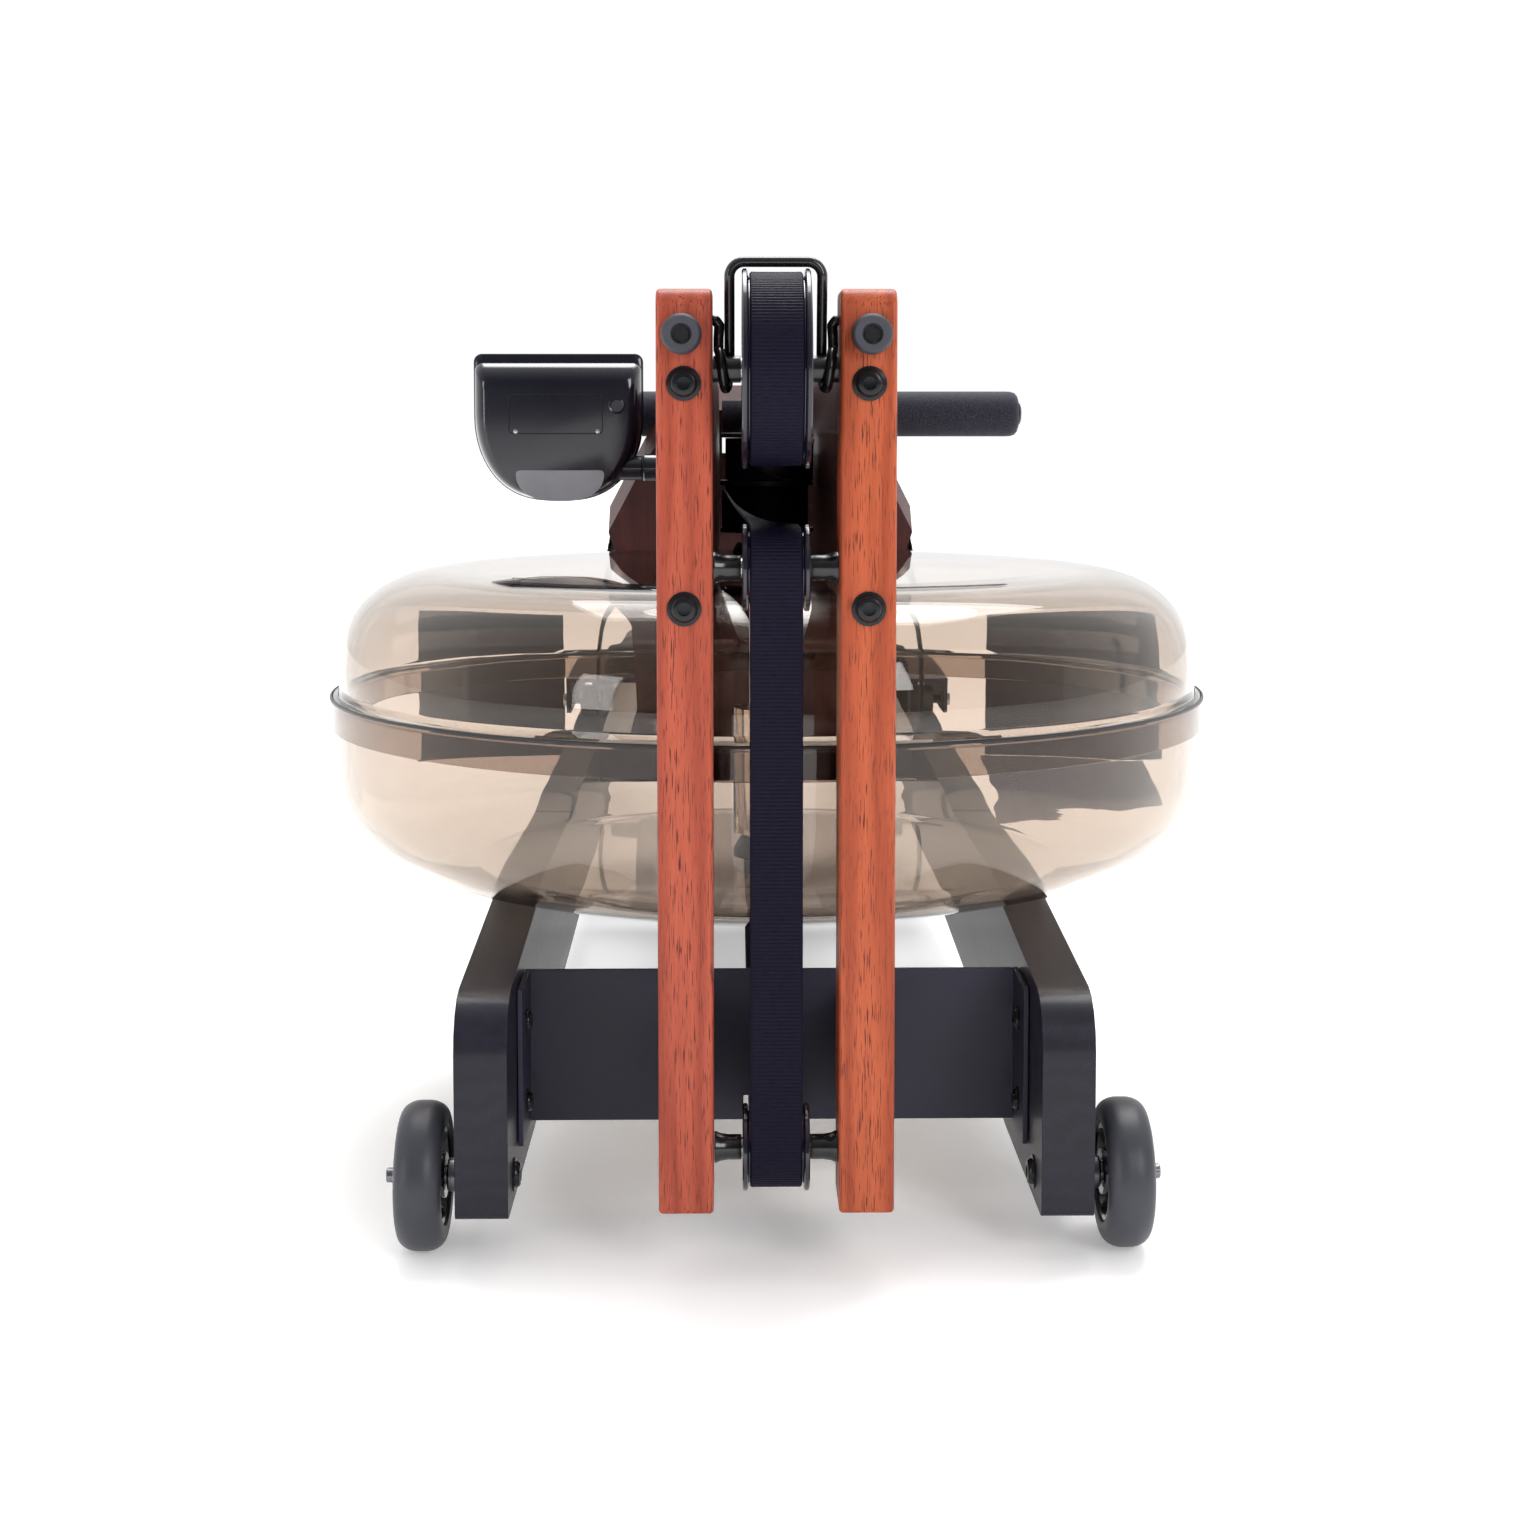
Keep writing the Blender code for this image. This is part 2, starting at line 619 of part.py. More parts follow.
def bungee_line():
    """Start point and direction of the straight recoil run under the seat."""
    radius = RECOIL_CORE + STRAP_OFFSET
    low_z = BUNGEE_PULLEY_Z - BUNGEE_PULLEY_CORE - BUNGEE_RADIUS
    start = Vector((0, behind(PULLEY_BEHIND), RECOIL_BOTTOM_Z - radius))
    return start, (Vector((0, behind(BUNGEE_PULLEY_BEHIND), low_z)) - start).normalized()


def clip_point():
    start, run = bungee_line()
    return start + run * (CLIP_BEHIND - PULLEY_BEHIND)


def add_straps():
    row_radius = TOP_PULLEY_CORE + STRAP_OFFSET
    recoil_radius = RECOIL_CORE + STRAP_OFFSET
    row = twist_stations(1, ROW_STRAP_Z, TOP_PULLEY_Z - row_radius)
    row += wrap_stations(TOP_PULLEY_Z, row_radius, 0, row_leave_angle(), 18)
    add_object("row_strap_front", ribbon(row), WEBBING)
    leave = row[-1][0]
    to_handle = Vector((0, behind(HANDLE_BEHIND), HANDLE_Z)) - leave
    end = leave + to_handle * (1 - (HANDLE_RADIUS + 0.001) / to_handle.length)
    add_object("row_strap_rear", ribbon(straight_run(row[-1], end, 0.001)), WEBBING)
    recoil = twist_stations(-1, RECOIL_STRAP_Z, RECOIL_TOP_Z + recoil_radius)
    recoil += wrap_stations(RECOIL_TOP_Z, recoil_radius, 180, 90, 8)
    recoil += wrap_stations(RECOIL_BOTTOM_Z, recoil_radius, 90, 0, 8)
    add_object("recoil_strap_front", ribbon(recoil), WEBBING)
    end = clip_point() - bungee_line()[1] * (CLIP_LENGTH / 2 + 0.001)
    add_object("recoil_strap_rear", ribbon(straight_run(recoil[-1], end, 0.001)), WEBBING)


def add_recoil_clip_and_bungee():
    centre = clip_point()
    run = bungee_line()[1]
    tilt = math.atan2(run.z, run.y)
    half = CLIP_LENGTH / 2
    clip = rounded([(-0.018, -half, 0.004), (0.018, -half, 0.004), (0.010, half, 0.004),
                    (-0.010, half, 0.004)])
    add_object("recoil_clip", prism(clip, "Z", -0.006, 0.006), BLACK_PLASTIC, centre, tilt)
    wheel = Vector((0, behind(BUNGEE_PULLEY_BEHIND), BUNGEE_PULLEY_Z))
    reach = BUNGEE_PULLEY_CORE + BUNGEE_RADIUS
    first = centre + run * (half + 0.001)
    tangent = wheel - Z_AXIS * reach
    add_tube("bungee_lower", [first, first.lerp(tangent, 0.5), tangent], BUNGEE_RADIUS, WEBBING)
    points = []
    for step in range(13):
        angle = math.pi * step / 12
        offset = Vector((0, math.sin(angle), -math.cos(angle))) * reach
        points.append(wheel + offset + Y_AXIS * 0.001)
    points.append(Vector((0, behind(BUNGEE_ANCHOR_BEHIND), 0.142)))
    add_tube("bungee_upper", points, BUNGEE_RADIUS, WEBBING)
    groove = 0.0155
    profile = [
        (0.0043, -0.008), (0.021, -0.008), (0.021, -0.0065), (groove, -0.005),
        (groove, 0.005), (0.021, 0.0065), (0.021, 0.008), (0.0043, 0.008),
    ]
    add_object("bungee_pulley", turned(profile, "X", wheel, 20), BLACK_PLASTIC, wheel)
    add_bungee_bracket(wheel)


def add_bungee_bracket(wheel):
    """A fork on the rear spacer whose pin carries the bungee pulley."""
    back = behind(1.90) - GAP
    fork = [
        (-0.014, wheel.y - 0.008), (-0.0115, wheel.y - 0.008), (-0.0115, back - 0.0035),
        (0.0115, back - 0.0035), (0.0115, wheel.y - 0.008), (0.014, wheel.y - 0.008),
        (0.014, back), (-0.014, back),
    ]
    pin = turned([(0, -0.013), (0.004, -0.013), (0.004, 0.013), (0, 0.013)], "X", wheel, 16)
    bracket = combine(prism(fork, "Z", wheel.z - 0.009, wheel.z + 0.009), pin, "UNION")
    add_object("bungee_bracket", bracket, BLACK_METAL)


def add_strap_guard():
    """A wire bail over the top pulley whose ends coil round its axle and rest on the risers."""
    origin = Vector((0, behind(PULLEY_BEHIND), TOP_PULLEY_Z))
    leg_height = GUARD_TOP_Z - origin.z
    bend = 0.0075
    tail_x = 0.0294
    half = [Vector((tail_x, 0.018, 0.0225)), Vector((tail_x, 0.013, 0.0150)),
            Vector((tail_x, 0.006, 0.0105))]
    for step in range(13):
        part = step / 12
        angle = 2 * math.pi * (1 - 0.75 * part)
        x = tail_x + (GUARD_LEG_X - tail_x) * part
        half.append(Vector((x, GUARD_COIL_RADIUS * math.sin(angle),
                            GUARD_COIL_RADIUS * math.cos(angle))))
    half.append(Vector((GUARD_LEG_X, GUARD_COIL_RADIUS * 0.6, leg_height * 0.45)))
    half.append(Vector((GUARD_LEG_X, 0, leg_height - bend)))
    for step in range(1, 7):
        angle = math.radians(90) * step / 6
        half.append(Vector((GUARD_LEG_X - bend * (1 - math.cos(angle)), 0,
                            leg_height - bend * (1 - math.sin(angle)))))
    mirrored = [Vector((-point.x, point.y, point.z)) for point in half]
    points = [origin + point for point in half + mirrored[::-1]]
    add_tube("strap_guard", points, GUARD_WIRE_RADIUS, BLACK_METAL, origin)


# ---------------------------------------------------------------- footboard and its fittings


def footboard_point(x, down, out):
    """A point on the footboard: down its slope from the top edge, out from its front face."""
    turn = Matrix.Rotation(-FOOTBOARD_TILT, 3, "X")
    return Vector((0, behind(FOOTBOARD_BEHIND), FOOTBOARD_Z)) + turn @ Vector((x, down, out))


def add_footboard():
    edge = [
        (0.062, 0, 0.012), (0.091, 0.055, 0.006), (0.122, 0.130, 0.006),
        (0.107, 0.212, 0.012), (0.107, FOOTBOARD_LENGTH, 0.004),
    ]
    mirrored = [(-x, down, radius) for x, down, radius in edge[::-1]]
    board = prism(rounded(edge + mirrored), "Z", 0, BOARD)
    board = tilted(board, footboard_point(0, 0, 0), -FOOTBOARD_TILT)
    window = box((-WINDOW_HALF_WIDTH, behind(0.55), WINDOW_LOW_Z),
                 (WINDOW_HALF_WIDTH, behind(0.70), WINDOW_HIGH_Z))
    add_object("footboard", combine(board, window, "DIFFERENCE"), ROSEWOOD)


def add_heel_rests():
    """Black plastic rests that slide on the footboard, each with a raised heel cup."""
    face = BOARD + GAP
    profile = rounded([
        (0.215, face, 0), (0.388, face, 0), (0.388, face + 0.046, 0.004),
        (0.380, face + 0.046, 0.004), (0.372, face + 0.010, 0.012), (0.215, face + 0.007, 0.004),
    ])
    for side, sign in SIDES:
        low = sign * HEEL_REST_X - HEEL_REST_HALF_WIDTH * 0.8
        high = sign * HEEL_REST_X + HEEL_REST_HALF_WIDTH * 0.8
        rest = prism(profile, "X", low, high)
        origin = footboard_point(0, 0, 0)
        add_object(f"{side}_heel_rest", rest, BLACK_PLASTIC, origin, -FOOTBOARD_TILT)


def add_foot_straps():
    """Webbing hoops that cross over each foot from one side of the board to the other."""
    half_span = 0.0445
    height = 0.062
    face = BOARD + GAP
    arch = []
    steps = 12
    for radius_drop in (0, 0.003):
        row = []
        for step in range(steps + 1):
            angle = math.pi * step / steps
            x = -(half_span - radius_drop) * math.cos(angle)
            row.append((x, face + (height - radius_drop) * math.sin(angle) ** 0.7))
        arch += row if radius_drop == 0 else row[::-1]
    low = FOOT_STRAP_DOWN - FOOT_STRAP_WIDTH / 2
    for side, sign in SIDES:
        outline = [(x + sign * HEEL_REST_X, out) for x, out in arch]
        hoop = prism(outline, "Y", low, low + FOOT_STRAP_WIDTH)
        origin = footboard_point(0, 0, 0)
        add_object(f"{side}_foot_strap", hoop, WEBBING, origin, -FOOTBOARD_TILT)


# ---------------------------------------------------------------- handle, seat, wheels


def add_handle():
    origin = Vector((0, behind(HANDLE_BEHIND), HANDLE_Z))
    end = HANDLE_HALF_LENGTH
    core = [(0, -end), (HANDLE_CORE_RADIUS, -end), (HANDLE_CORE_RADIUS, end), (0, end)]
    add_object("handle_core", turned(core, "X", origin, 16), STEEL, origin)
    inner = HANDLE_CORE_RADIUS + GAP
    grip_end = end - 0.0025
    groove = STRAP_WIDTH / 2 + 0.001
    corner = 0.004
    profile = [
        (inner, -grip_end), (HANDLE_RADIUS - corner, -grip_end),
        (HANDLE_RADIUS, corner - grip_end), (HANDLE_RADIUS, -groove), (HANDLE_GROOVE, -groove),
        (HANDLE_GROOVE, groove), (HANDLE_RADIUS, groove), (HANDLE_RADIUS, grip_end - corner),
        (HANDLE_RADIUS - corner, grip_end), (inner, grip_end),
    ]
    add_object("handle_grip", turned(profile, "X", origin, 20), FOAM, origin)


def add_wheels():
    y = behind(WHEEL_BEHIND)
    width = WHEEL_OUTER_X - WHEEL_INNER_X
    bore = WHEEL_AXLE_RADIUS + GAP
    round_edge = 0.010
    profile = [(bore, 0), (0.024, 0), (0.026, 0.0015), (WHEEL_RADIUS - round_edge, 0)]
    for step in range(1, 5):
        angle = math.radians(90) * step / 4
        profile.append((WHEEL_RADIUS - round_edge * (1 - math.sin(angle)),
                        round_edge * (1 - math.cos(angle))))
    profile += [(radius, width - along) for radius, along in profile[::-1]]
    for side, sign in SIDES:
        origin = (sign * WHEEL_INNER_X, y, WHEEL_RADIUS)
        outward = [(radius, sign * along) for radius, along in profile]
        add_object(f"{side}_wheel", turned(outward, "X", origin, 32), RUBBER, origin)
        start = RAIL_INNER_X + BOARD + GAP - WHEEL_INNER_X
        head = WHEEL_OUTER_X + GAP - WHEEL_INNER_X
        tip = WHEEL_AXLE_END_X - WHEEL_INNER_X
        spacer = -GAP
        axle = [
            (0, start), (0.009, start), (0.009, spacer), (WHEEL_AXLE_RADIUS, spacer),
            (WHEEL_AXLE_RADIUS, head), (0.0085, head), (0.0085, head + 0.0035),
            (0.004, head + 0.0035), (0.004, tip), (0, tip),
        ]
        axle = [(radius, sign * along) for radius, along in axle]
        add_object(f"{side}_wheel_axle", turned(axle, "X", origin, 16), STEEL)


def add_seat():
    """A padded seat on a carriage whose four rollers run on the rails' top edges."""
    origin = Vector((0, behind(SEAT_BEHIND), rail_top(SEAT_BEHIND)))
    roller_z = ROLLER_RADIUS + GAP
    roller_x = RAIL_INNER_X + BOARD / 2
    skirt_inner = roller_x + ROLLER_HALF_WIDTH + 0.0085
    skirt_outer = skirt_inner + 0.004
    top = SEAT_PLATE_Z + 0.004
    section = [
        (-skirt_outer, 0.006), (-skirt_inner, 0.006), (-skirt_inner, SEAT_PLATE_Z),
        (skirt_inner, SEAT_PLATE_Z), (skirt_inner, 0.006), (skirt_outer, 0.006),
        (skirt_outer, top), (-skirt_outer, top),
    ]
    carriage = prism(section, "Y", -0.108, 0.108)
    pin_radius = 0.004
    for sign in (-1, 1):
        for place in (-ROLLER_SPREAD, ROLLER_SPREAD):
            low, high = sorted((sign * (roller_x - ROLLER_HALF_WIDTH), sign * (skirt_outer - 0.001)))
            pin = turned([(0, low), (pin_radius, low), (pin_radius, high), (0, high)], "X",
                         (0, place, roller_z), 12)
            carriage = combine(carriage, pin, "UNION")
    add_object("seat_carriage", carriage, BLACK_METAL, origin, RAIL_SLOPE)
    pad_low = top + GAP
    pad_high = top + SEAT_PAD_HEIGHT
    corners = []
    for x, y, radius in ((-0.150, -0.118, 0.05), (0.150, -0.118, 0.05),
                         (0.138, 0.118, 0.07), (-0.138, 0.118, 0.07)):
        corners.append((x, y, radius))
    pad = prism(rounded(corners, 5), "Z", pad_low, pad_high)
    add_object("seat_pad", pad, SEAT_COVER, origin, RAIL_SLOPE)
    profile = ring(pin_radius + GAP, ROLLER_RADIUS, -ROLLER_HALF_WIDTH, ROLLER_HALF_WIDTH, 0.001)
    turn = Matrix.Rotation(RAIL_SLOPE, 3, "X")
    for side, sign in SIDES:
        for end, place in (("front", -ROLLER_SPREAD), ("rear", ROLLER_SPREAD)):
            centre = origin + turn @ Vector((sign * roller_x, place, roller_z))
            roller = turned(profile, "X", centre, 20)
            add_object(f"{side}_{end}_seat_roller", roller, RUBBER, centre)


# ---------------------------------------------------------------- monitor


def monitor_outline(inset=0.0):
    """A shield: flat wide top, nearly straight sides and a deep round bottom."""
    half = MONITOR_HALF_WIDTH - inset
    top = MONITOR_TOP_Z - inset
    waist = MONITOR_BOTTOM_Z + 0.053
    depth = waist - MONITOR_BOTTOM_Z - inset
    outline = rounded([(MONITOR_X + half, waist, 0), (MONITOR_X + half, top, 0.009),
                       (MONITOR_X - half, top, 0.009), (MONITOR_X - half, waist, 0)])
    for step in range(1, 14):
        angle = math.pi + math.pi * step / 14
        wide = math.copysign(abs(math.cos(angle)) ** 0.75, math.cos(angle))
        outline.append((MONITOR_X + half * wide, waist + depth * math.sin(angle)))
    return outline


def add_monitor():
    y = behind(MONITOR_BEHIND)
    joint_y = y + MONITOR_DEPTH / 2
    origin = (0, joint_y, MONITOR_ARM_Z)
    case = prism(monitor_outline(), "Y", y, y + MONITOR_DEPTH)
    add_object("monitor_case", case, BLACK_PLASTIC, origin)
    low = y + MONITOR_DEPTH + GAP
    high = low + 0.006
    bezel = prism(monitor_outline(0.002), "Y", low, high)
    cutter_radius = BUTTON_RADIUS + GAP
    places = [MONITOR_X + BUTTON_SPACING * (number - 1) for number in range(3)]
    for x in places:
        hole = [(0, -0.001), (cutter_radius, -0.001), (cutter_radius, 0.01), (0, 0.01)]
        bezel = combine(bezel, turned(hole, "Y", (x, low, BUTTON_Z), 16), "DIFFERENCE")
    add_object("monitor_bezel", bezel, BLACK_PLASTIC, origin)
    for number, x in enumerate(places, 1):
        button = [(0, 0.0016), (BUTTON_RADIUS, 0.0016), (BUTTON_RADIUS, 0.0075),
                  (BUTTON_RADIUS - 0.0012, 0.0082), (0, 0.0082)]
        centre = (x, low, BUTTON_Z)
        add_object(f"monitor_button_{number}", turned(button, "Y", centre, 16), RUBBER, centre)
    start = -(RISER_INNER_X + BOARD + GAP)
    end = MONITOR_X + MONITOR_HALF_WIDTH + GAP
    arm = turned([(0, start), (0.014, start), (0.014, start - 0.004),
                  (MONITOR_ARM_RADIUS, start - 0.004), (MONITOR_ARM_RADIUS, end), (0, end)],
                 "X", origin, 20)
    add_object("monitor_arm", arm, BLACK_PLASTIC)


def build():
    clear_scene()
    add_risers_and_beams()
    add_bumpers()
    add_rails_and_feet()
    add_cross_members()
    add_tank()
    add_tank_plug()
    add_bearings()
    add_rotor()
    add_pulleys()
    add_straps()
    add_recoil_clip_and_bungee()
    add_strap_guard()
    add_footboard()
    add_heel_rests()
    add_foot_straps()
    add_handle()
    add_wheels()
    add_seat()
    add_monitor()


build()
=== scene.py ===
"""Looks for the timber water rower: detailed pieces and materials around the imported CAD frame.

Metres, +Z up. The tank end faces -Y. "Left" is the -X side.
"""

import math

import bmesh
import bpy
from mathutils import Matrix, Vector


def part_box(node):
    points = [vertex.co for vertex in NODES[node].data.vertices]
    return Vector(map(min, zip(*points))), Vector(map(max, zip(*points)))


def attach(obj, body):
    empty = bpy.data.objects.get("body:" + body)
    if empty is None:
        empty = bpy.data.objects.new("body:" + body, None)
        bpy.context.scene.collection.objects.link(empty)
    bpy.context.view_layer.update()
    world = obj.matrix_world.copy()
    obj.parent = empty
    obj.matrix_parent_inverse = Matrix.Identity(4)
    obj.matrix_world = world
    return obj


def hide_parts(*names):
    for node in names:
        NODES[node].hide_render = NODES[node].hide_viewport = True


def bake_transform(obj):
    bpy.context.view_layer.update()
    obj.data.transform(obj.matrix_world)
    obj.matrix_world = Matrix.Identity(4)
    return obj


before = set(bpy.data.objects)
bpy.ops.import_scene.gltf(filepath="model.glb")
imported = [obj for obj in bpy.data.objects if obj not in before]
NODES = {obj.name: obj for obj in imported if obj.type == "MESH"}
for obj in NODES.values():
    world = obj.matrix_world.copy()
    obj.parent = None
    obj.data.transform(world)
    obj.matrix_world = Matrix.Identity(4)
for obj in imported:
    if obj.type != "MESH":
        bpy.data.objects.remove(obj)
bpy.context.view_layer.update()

RISER_FRONT_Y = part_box("left_riser")[0].y
GAP = 0.0003
# The rails' top edges: their tilt, and their height and distance behind the risers at the front.
RAIL_TILT = math.radians(2)
RAIL_TOP = 0.142
RAIL_FRONT = 0.05
# The middle heights of the two straps where they leave the drum.
ROW_STRAP_Z = 0.425
RECOIL_STRAP_Z = 0.3943
SHARP_ANGLE = math.radians(32)
FOOTBOARD_ANGLE = math.radians(48)
X_AXIS = Vector((1, 0, 0))
Y_AXIS = Vector((0, 1, 0))
Z_AXIS = Vector((0, 0, 1))
AXES = {"X": X_AXIS, "Y": Y_AXIS, "Z": Z_AXIS}
SIDES = (("left", -1), ("right", 1))


def behind(distance):
    """The Y of a point that distance behind the risers' front face."""
    return RISER_FRONT_Y + distance


def middle(node):
    """The middle of a CAD node's box."""
    low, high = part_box(node)
    return (low + high) / 2


# ---------------------------------------------------------------- materials


class Paint:
    """A short way to wire one procedural material."""

    def __init__(self, name, roughness=0.5, metallic=0.0, **constants):
        self.material = bpy.data.materials.new(name)
        self.material.use_nodes = True
        self.tree = self.material.node_tree
        self.shader = self.tree.nodes["Principled BSDF"]
        self.shader.inputs["Roughness"].default_value = roughness
        self.shader.inputs["Metallic"].default_value = metallic
        for key, value in constants.items():
            self.shader.inputs[key.replace("_", " ")].default_value = value
        self.coords = self.node("TexCoord")

    def node(self, kind, **settings):
        made = self.tree.nodes.new("ShaderNode" + kind)
        for key, value in settings.items():
            setattr(made, key, value)
        return made

    def link(self, source, target):
        self.tree.links.new(source, target)

    def stretched(self, scale, source="Object", turn=(0, 0, 0), shift=(0, 0, 0)):
        """Texture coordinates turned and shifted, then scaled per axis, in turns per metre."""
        vector = self.coords.outputs[source]
        for settings in ({"Rotation": turn, "Location": shift}, {"Scale": scale}):
            mapping = self.node("Mapping")
            for socket, value in settings.items():
                mapping.inputs[socket].default_value = value
            self.link(vector, mapping.inputs["Vector"])
            vector = mapping.outputs["Vector"]
        return vector

    def noise(self, vector, scale=1.0, detail=4.0, rough=0.55, distortion=0.0):
        made = self.node("TexNoise")
        made.inputs["Scale"].default_value = scale
        made.inputs["Detail"].default_value = detail
        made.inputs["Roughness"].default_value = rough
        made.inputs["Distortion"].default_value = distortion
        self.link(vector, made.inputs["Vector"])
        return made.outputs["Fac"]

    def wave(self, vector, scale, distortion=0.0, axis="X", detail=2.0):
        made = self.node("TexWave", wave_type="BANDS", bands_direction=axis, wave_profile="SIN")
        made.inputs["Scale"].default_value = scale
        made.inputs["Distortion"].default_value = distortion
        made.inputs["Detail"].default_value = detail
        made.inputs["Detail Scale"].default_value = 1.5
        self.link(vector, made.inputs["Vector"])
        return made.outputs["Fac"]

    def ramp(self, source, stops):
        made = self.node("ValToRGB")
        elements = made.color_ramp.elements
        while len(elements) < len(stops):
            elements.new(0.5)
        for element, (place, colour) in zip(elements, stops):
            element.position = place
            element.color = (*colour, 1.0) if len(colour) == 3 else colour
        self.link(source, made.inputs["Fac"])
        return made.outputs["Color"]

    def span(self, source, low, high, from_low=0.0, from_high=1.0):
        made = self.node("MapRange")
        made.inputs["From Min"].default_value = from_low
        made.inputs["From Max"].default_value = from_high
        made.inputs["To Min"].default_value = low
        made.inputs["To Max"].default_value = high
        self.link(source, made.inputs["Value"])
        return made.outputs["Result"]

    def math(self, operation, first, second):
        made = self.node("Math", operation=operation)
        for socket, value in zip(made.inputs, (first, second)):
            if isinstance(value, (int, float)):
                socket.default_value = value
            else:
                self.link(value, socket)
        return made.outputs["Value"]

    def mix(self, factor, first, second, kind="MIX"):
        made = self.node("Mix", data_type="RGBA", blend_type=kind)
        for socket, value in zip((made.inputs[0], made.inputs[6], made.inputs[7]),
                                 (factor, first, second)):
            if isinstance(value, (int, float)):
                socket.default_value = value
            elif isinstance(value, tuple):
                socket.default_value = (*value, 1.0)
            else:
                self.link(value, socket)
        return made.outputs[2]

    def bump(self, height, strength, distance):
        made = self.node("Bump")
        made.inputs["Strength"].default_value = strength
        made.inputs["Distance"].default_value = distance
        self.link(height, made.inputs["Height"])
        self.link(made.outputs["Normal"], self.shader.inputs["Normal"])
        return made

    def finish(self, colour=None, roughness=None):
        if colour is not None:
            self.link(colour, self.shader.inputs["Base Color"])
        if roughness is not None:
            self.link(roughness, self.shader.inputs["Roughness"])
        return self.material


def wood(name, along, light, mid, dark, pore, shift=0.0, gloss=0.42, coat=0.05, turn=(0, 0, 0)):
    """Stained open-grained timber: long wavy growth bands, dark pores and a thin lacquer."""
    paint = Paint(name, Coat_Weight=coat, Coat_Roughness=0.16, Specular_IOR_Level=0.22)
    index = "XYZ".index(along)
    cross = "XYZ"[(index + 1) % 3]

    def scaled(length, width):
        values = [width] * 3
        values[index] = length
        return paint.stretched(values, turn=turn, shift=(shift, shift * 0.37, shift * 0.71))

    bands = paint.wave(scaled(0.9, 11.0), 2.0, 9.0, axis=cross, detail=4.0)
    broad = paint.noise(scaled(1.6, 34.0), 1.0, 6.0, 0.62, 0.5)
    fibre = paint.noise(scaled(14.0, 700.0), 1.0, 4.0, 0.7)
    pores = paint.noise(scaled(70.0, 1500.0), 1.0, 2.0, 0.55)
    grain = paint.math("ADD", paint.math("MULTIPLY", bands, 0.30),
                       paint.math("MULTIPLY", broad, 0.70))
    colour = paint.ramp(grain, [(0.28, dark), (0.50, mid), (0.74, light)])
    fibre_tint = paint.ramp(fibre, [(0.30, (0.80, 0.78, 0.76)), (0.62, (1.06, 1.06, 1.06))])
    colour = paint.mix(0.6, colour, fibre_tint, "MULTIPLY")
    pore_mask = paint.span(pores, 0.0, 1.0, 0.565, 0.64)
    pore_mask = paint.math("MULTIPLY", pore_mask, paint.span(bands, 0.45, 1.0))
    colour = paint.mix(pore_mask, colour, pore)
    height = paint.math("SUBTRACT", paint.math("MULTIPLY", fibre, 0.4), pore_mask)
    paint.bump(height, 0.30, 0.00035)
    return paint.finish(colour, paint.span(broad, gloss - 0.05, gloss + 0.10))


def moulded(name, colour, roughness=0.32, grain=900.0, depth=0.00006, coat=0.0, metallic=0.0,
            shine=0.40):
    """Moulded plastic, paint or rubber with a fine skin texture and faint handling marks."""
    paint = Paint(name, metallic=metallic, Coat_Weight=coat, Coat_Roughness=0.12,
                  Specular_IOR_Level=shine)
    fine = paint.noise(paint.stretched((grain,) * 3), 1.0, 3.0, 0.6)
    cloud = paint.noise(paint.stretched((9,) * 3), 1.0, 4.0, 0.6)
    low = tuple(channel * 0.80 for channel in colour)
    high = tuple(min(1.0, channel * 1.25 + 0.002) for channel in colour)
    tint = paint.ramp(cloud, [(0.30, low), (0.70, high)])
    paint.bump(fine, 0.35, depth)
    return paint.finish(tint, paint.span(cloud, roughness - 0.06, roughness + 0.08))


def foam(name, colour, fleck):
    """Closed-cell foam: a dull skin with fine pits and lighter flecks."""
    paint = Paint(name, roughness=0.80, Specular_IOR_Level=0.35, Sheen_Weight=0.08,
                  Sheen_Roughness=0.5)
    pits = paint.node("TexVoronoi")
    pits.inputs["Scale"].default_value = 1100.0
    paint.link(paint.coords.outputs["Object"], pits.inputs["Vector"])
    flecks = paint.noise(paint.stretched((1500,) * 3), 1.0, 2.0, 0.7)
    tint = paint.ramp(flecks, [(0.45, colour), (0.74, fleck)])
    paint.bump(pits.outputs["Distance"], 0.6, 0.0003)
    return paint.finish(tint)


def metal(name, colour, roughness=0.25, along="Z"):
    """Brushed or turned steel with fine streaks."""
    paint = Paint(name, metallic=1.0)
    scale = [700.0] * 3
    scale["XYZ".index(along)] = 25.0
    streaks = paint.noise(paint.stretched(scale), 1.0, 4.0, 0.6)
    low = tuple(channel * 0.86 for channel in colour)
    tint = paint.ramp(streaks, [(0.3, low), (0.7, colour)])
    paint.bump(streaks, 0.12, 0.00005)
    return paint.finish(tint, paint.span(streaks, roughness - 0.05, roughness + 0.09))


def webbing(name, colour, ribs_per_metre=0.0):
    """Woven strap: cross ribs run by the strap's own length, with a fine twill over them."""
    paint = Paint(name, roughness=0.50, Specular_IOR_Level=0.10)
    uv = paint.stretched((1, 1, 1), source="UV")
    yarn = paint.stretched((900, 2400, 1), source="UV")
    twill = paint.noise(yarn, 1.0, 2.0, 0.5)
    height = twill
    if ribs_per_metre:
        rib = paint.wave(uv, ribs_per_metre * math.pi / 10, axis="Y")
        height = paint.math("ADD", paint.math("MULTIPLY", rib, 1.4), twill)
    low = tuple(channel * 0.55 for channel in colour)
    high = tuple(channel * 1.7 for channel in colour)
    tint = paint.ramp(twill, [(0.35, low), (0.68, high)])
    paint.bump(height, 0.7, 0.00018)
    return paint.finish(tint)


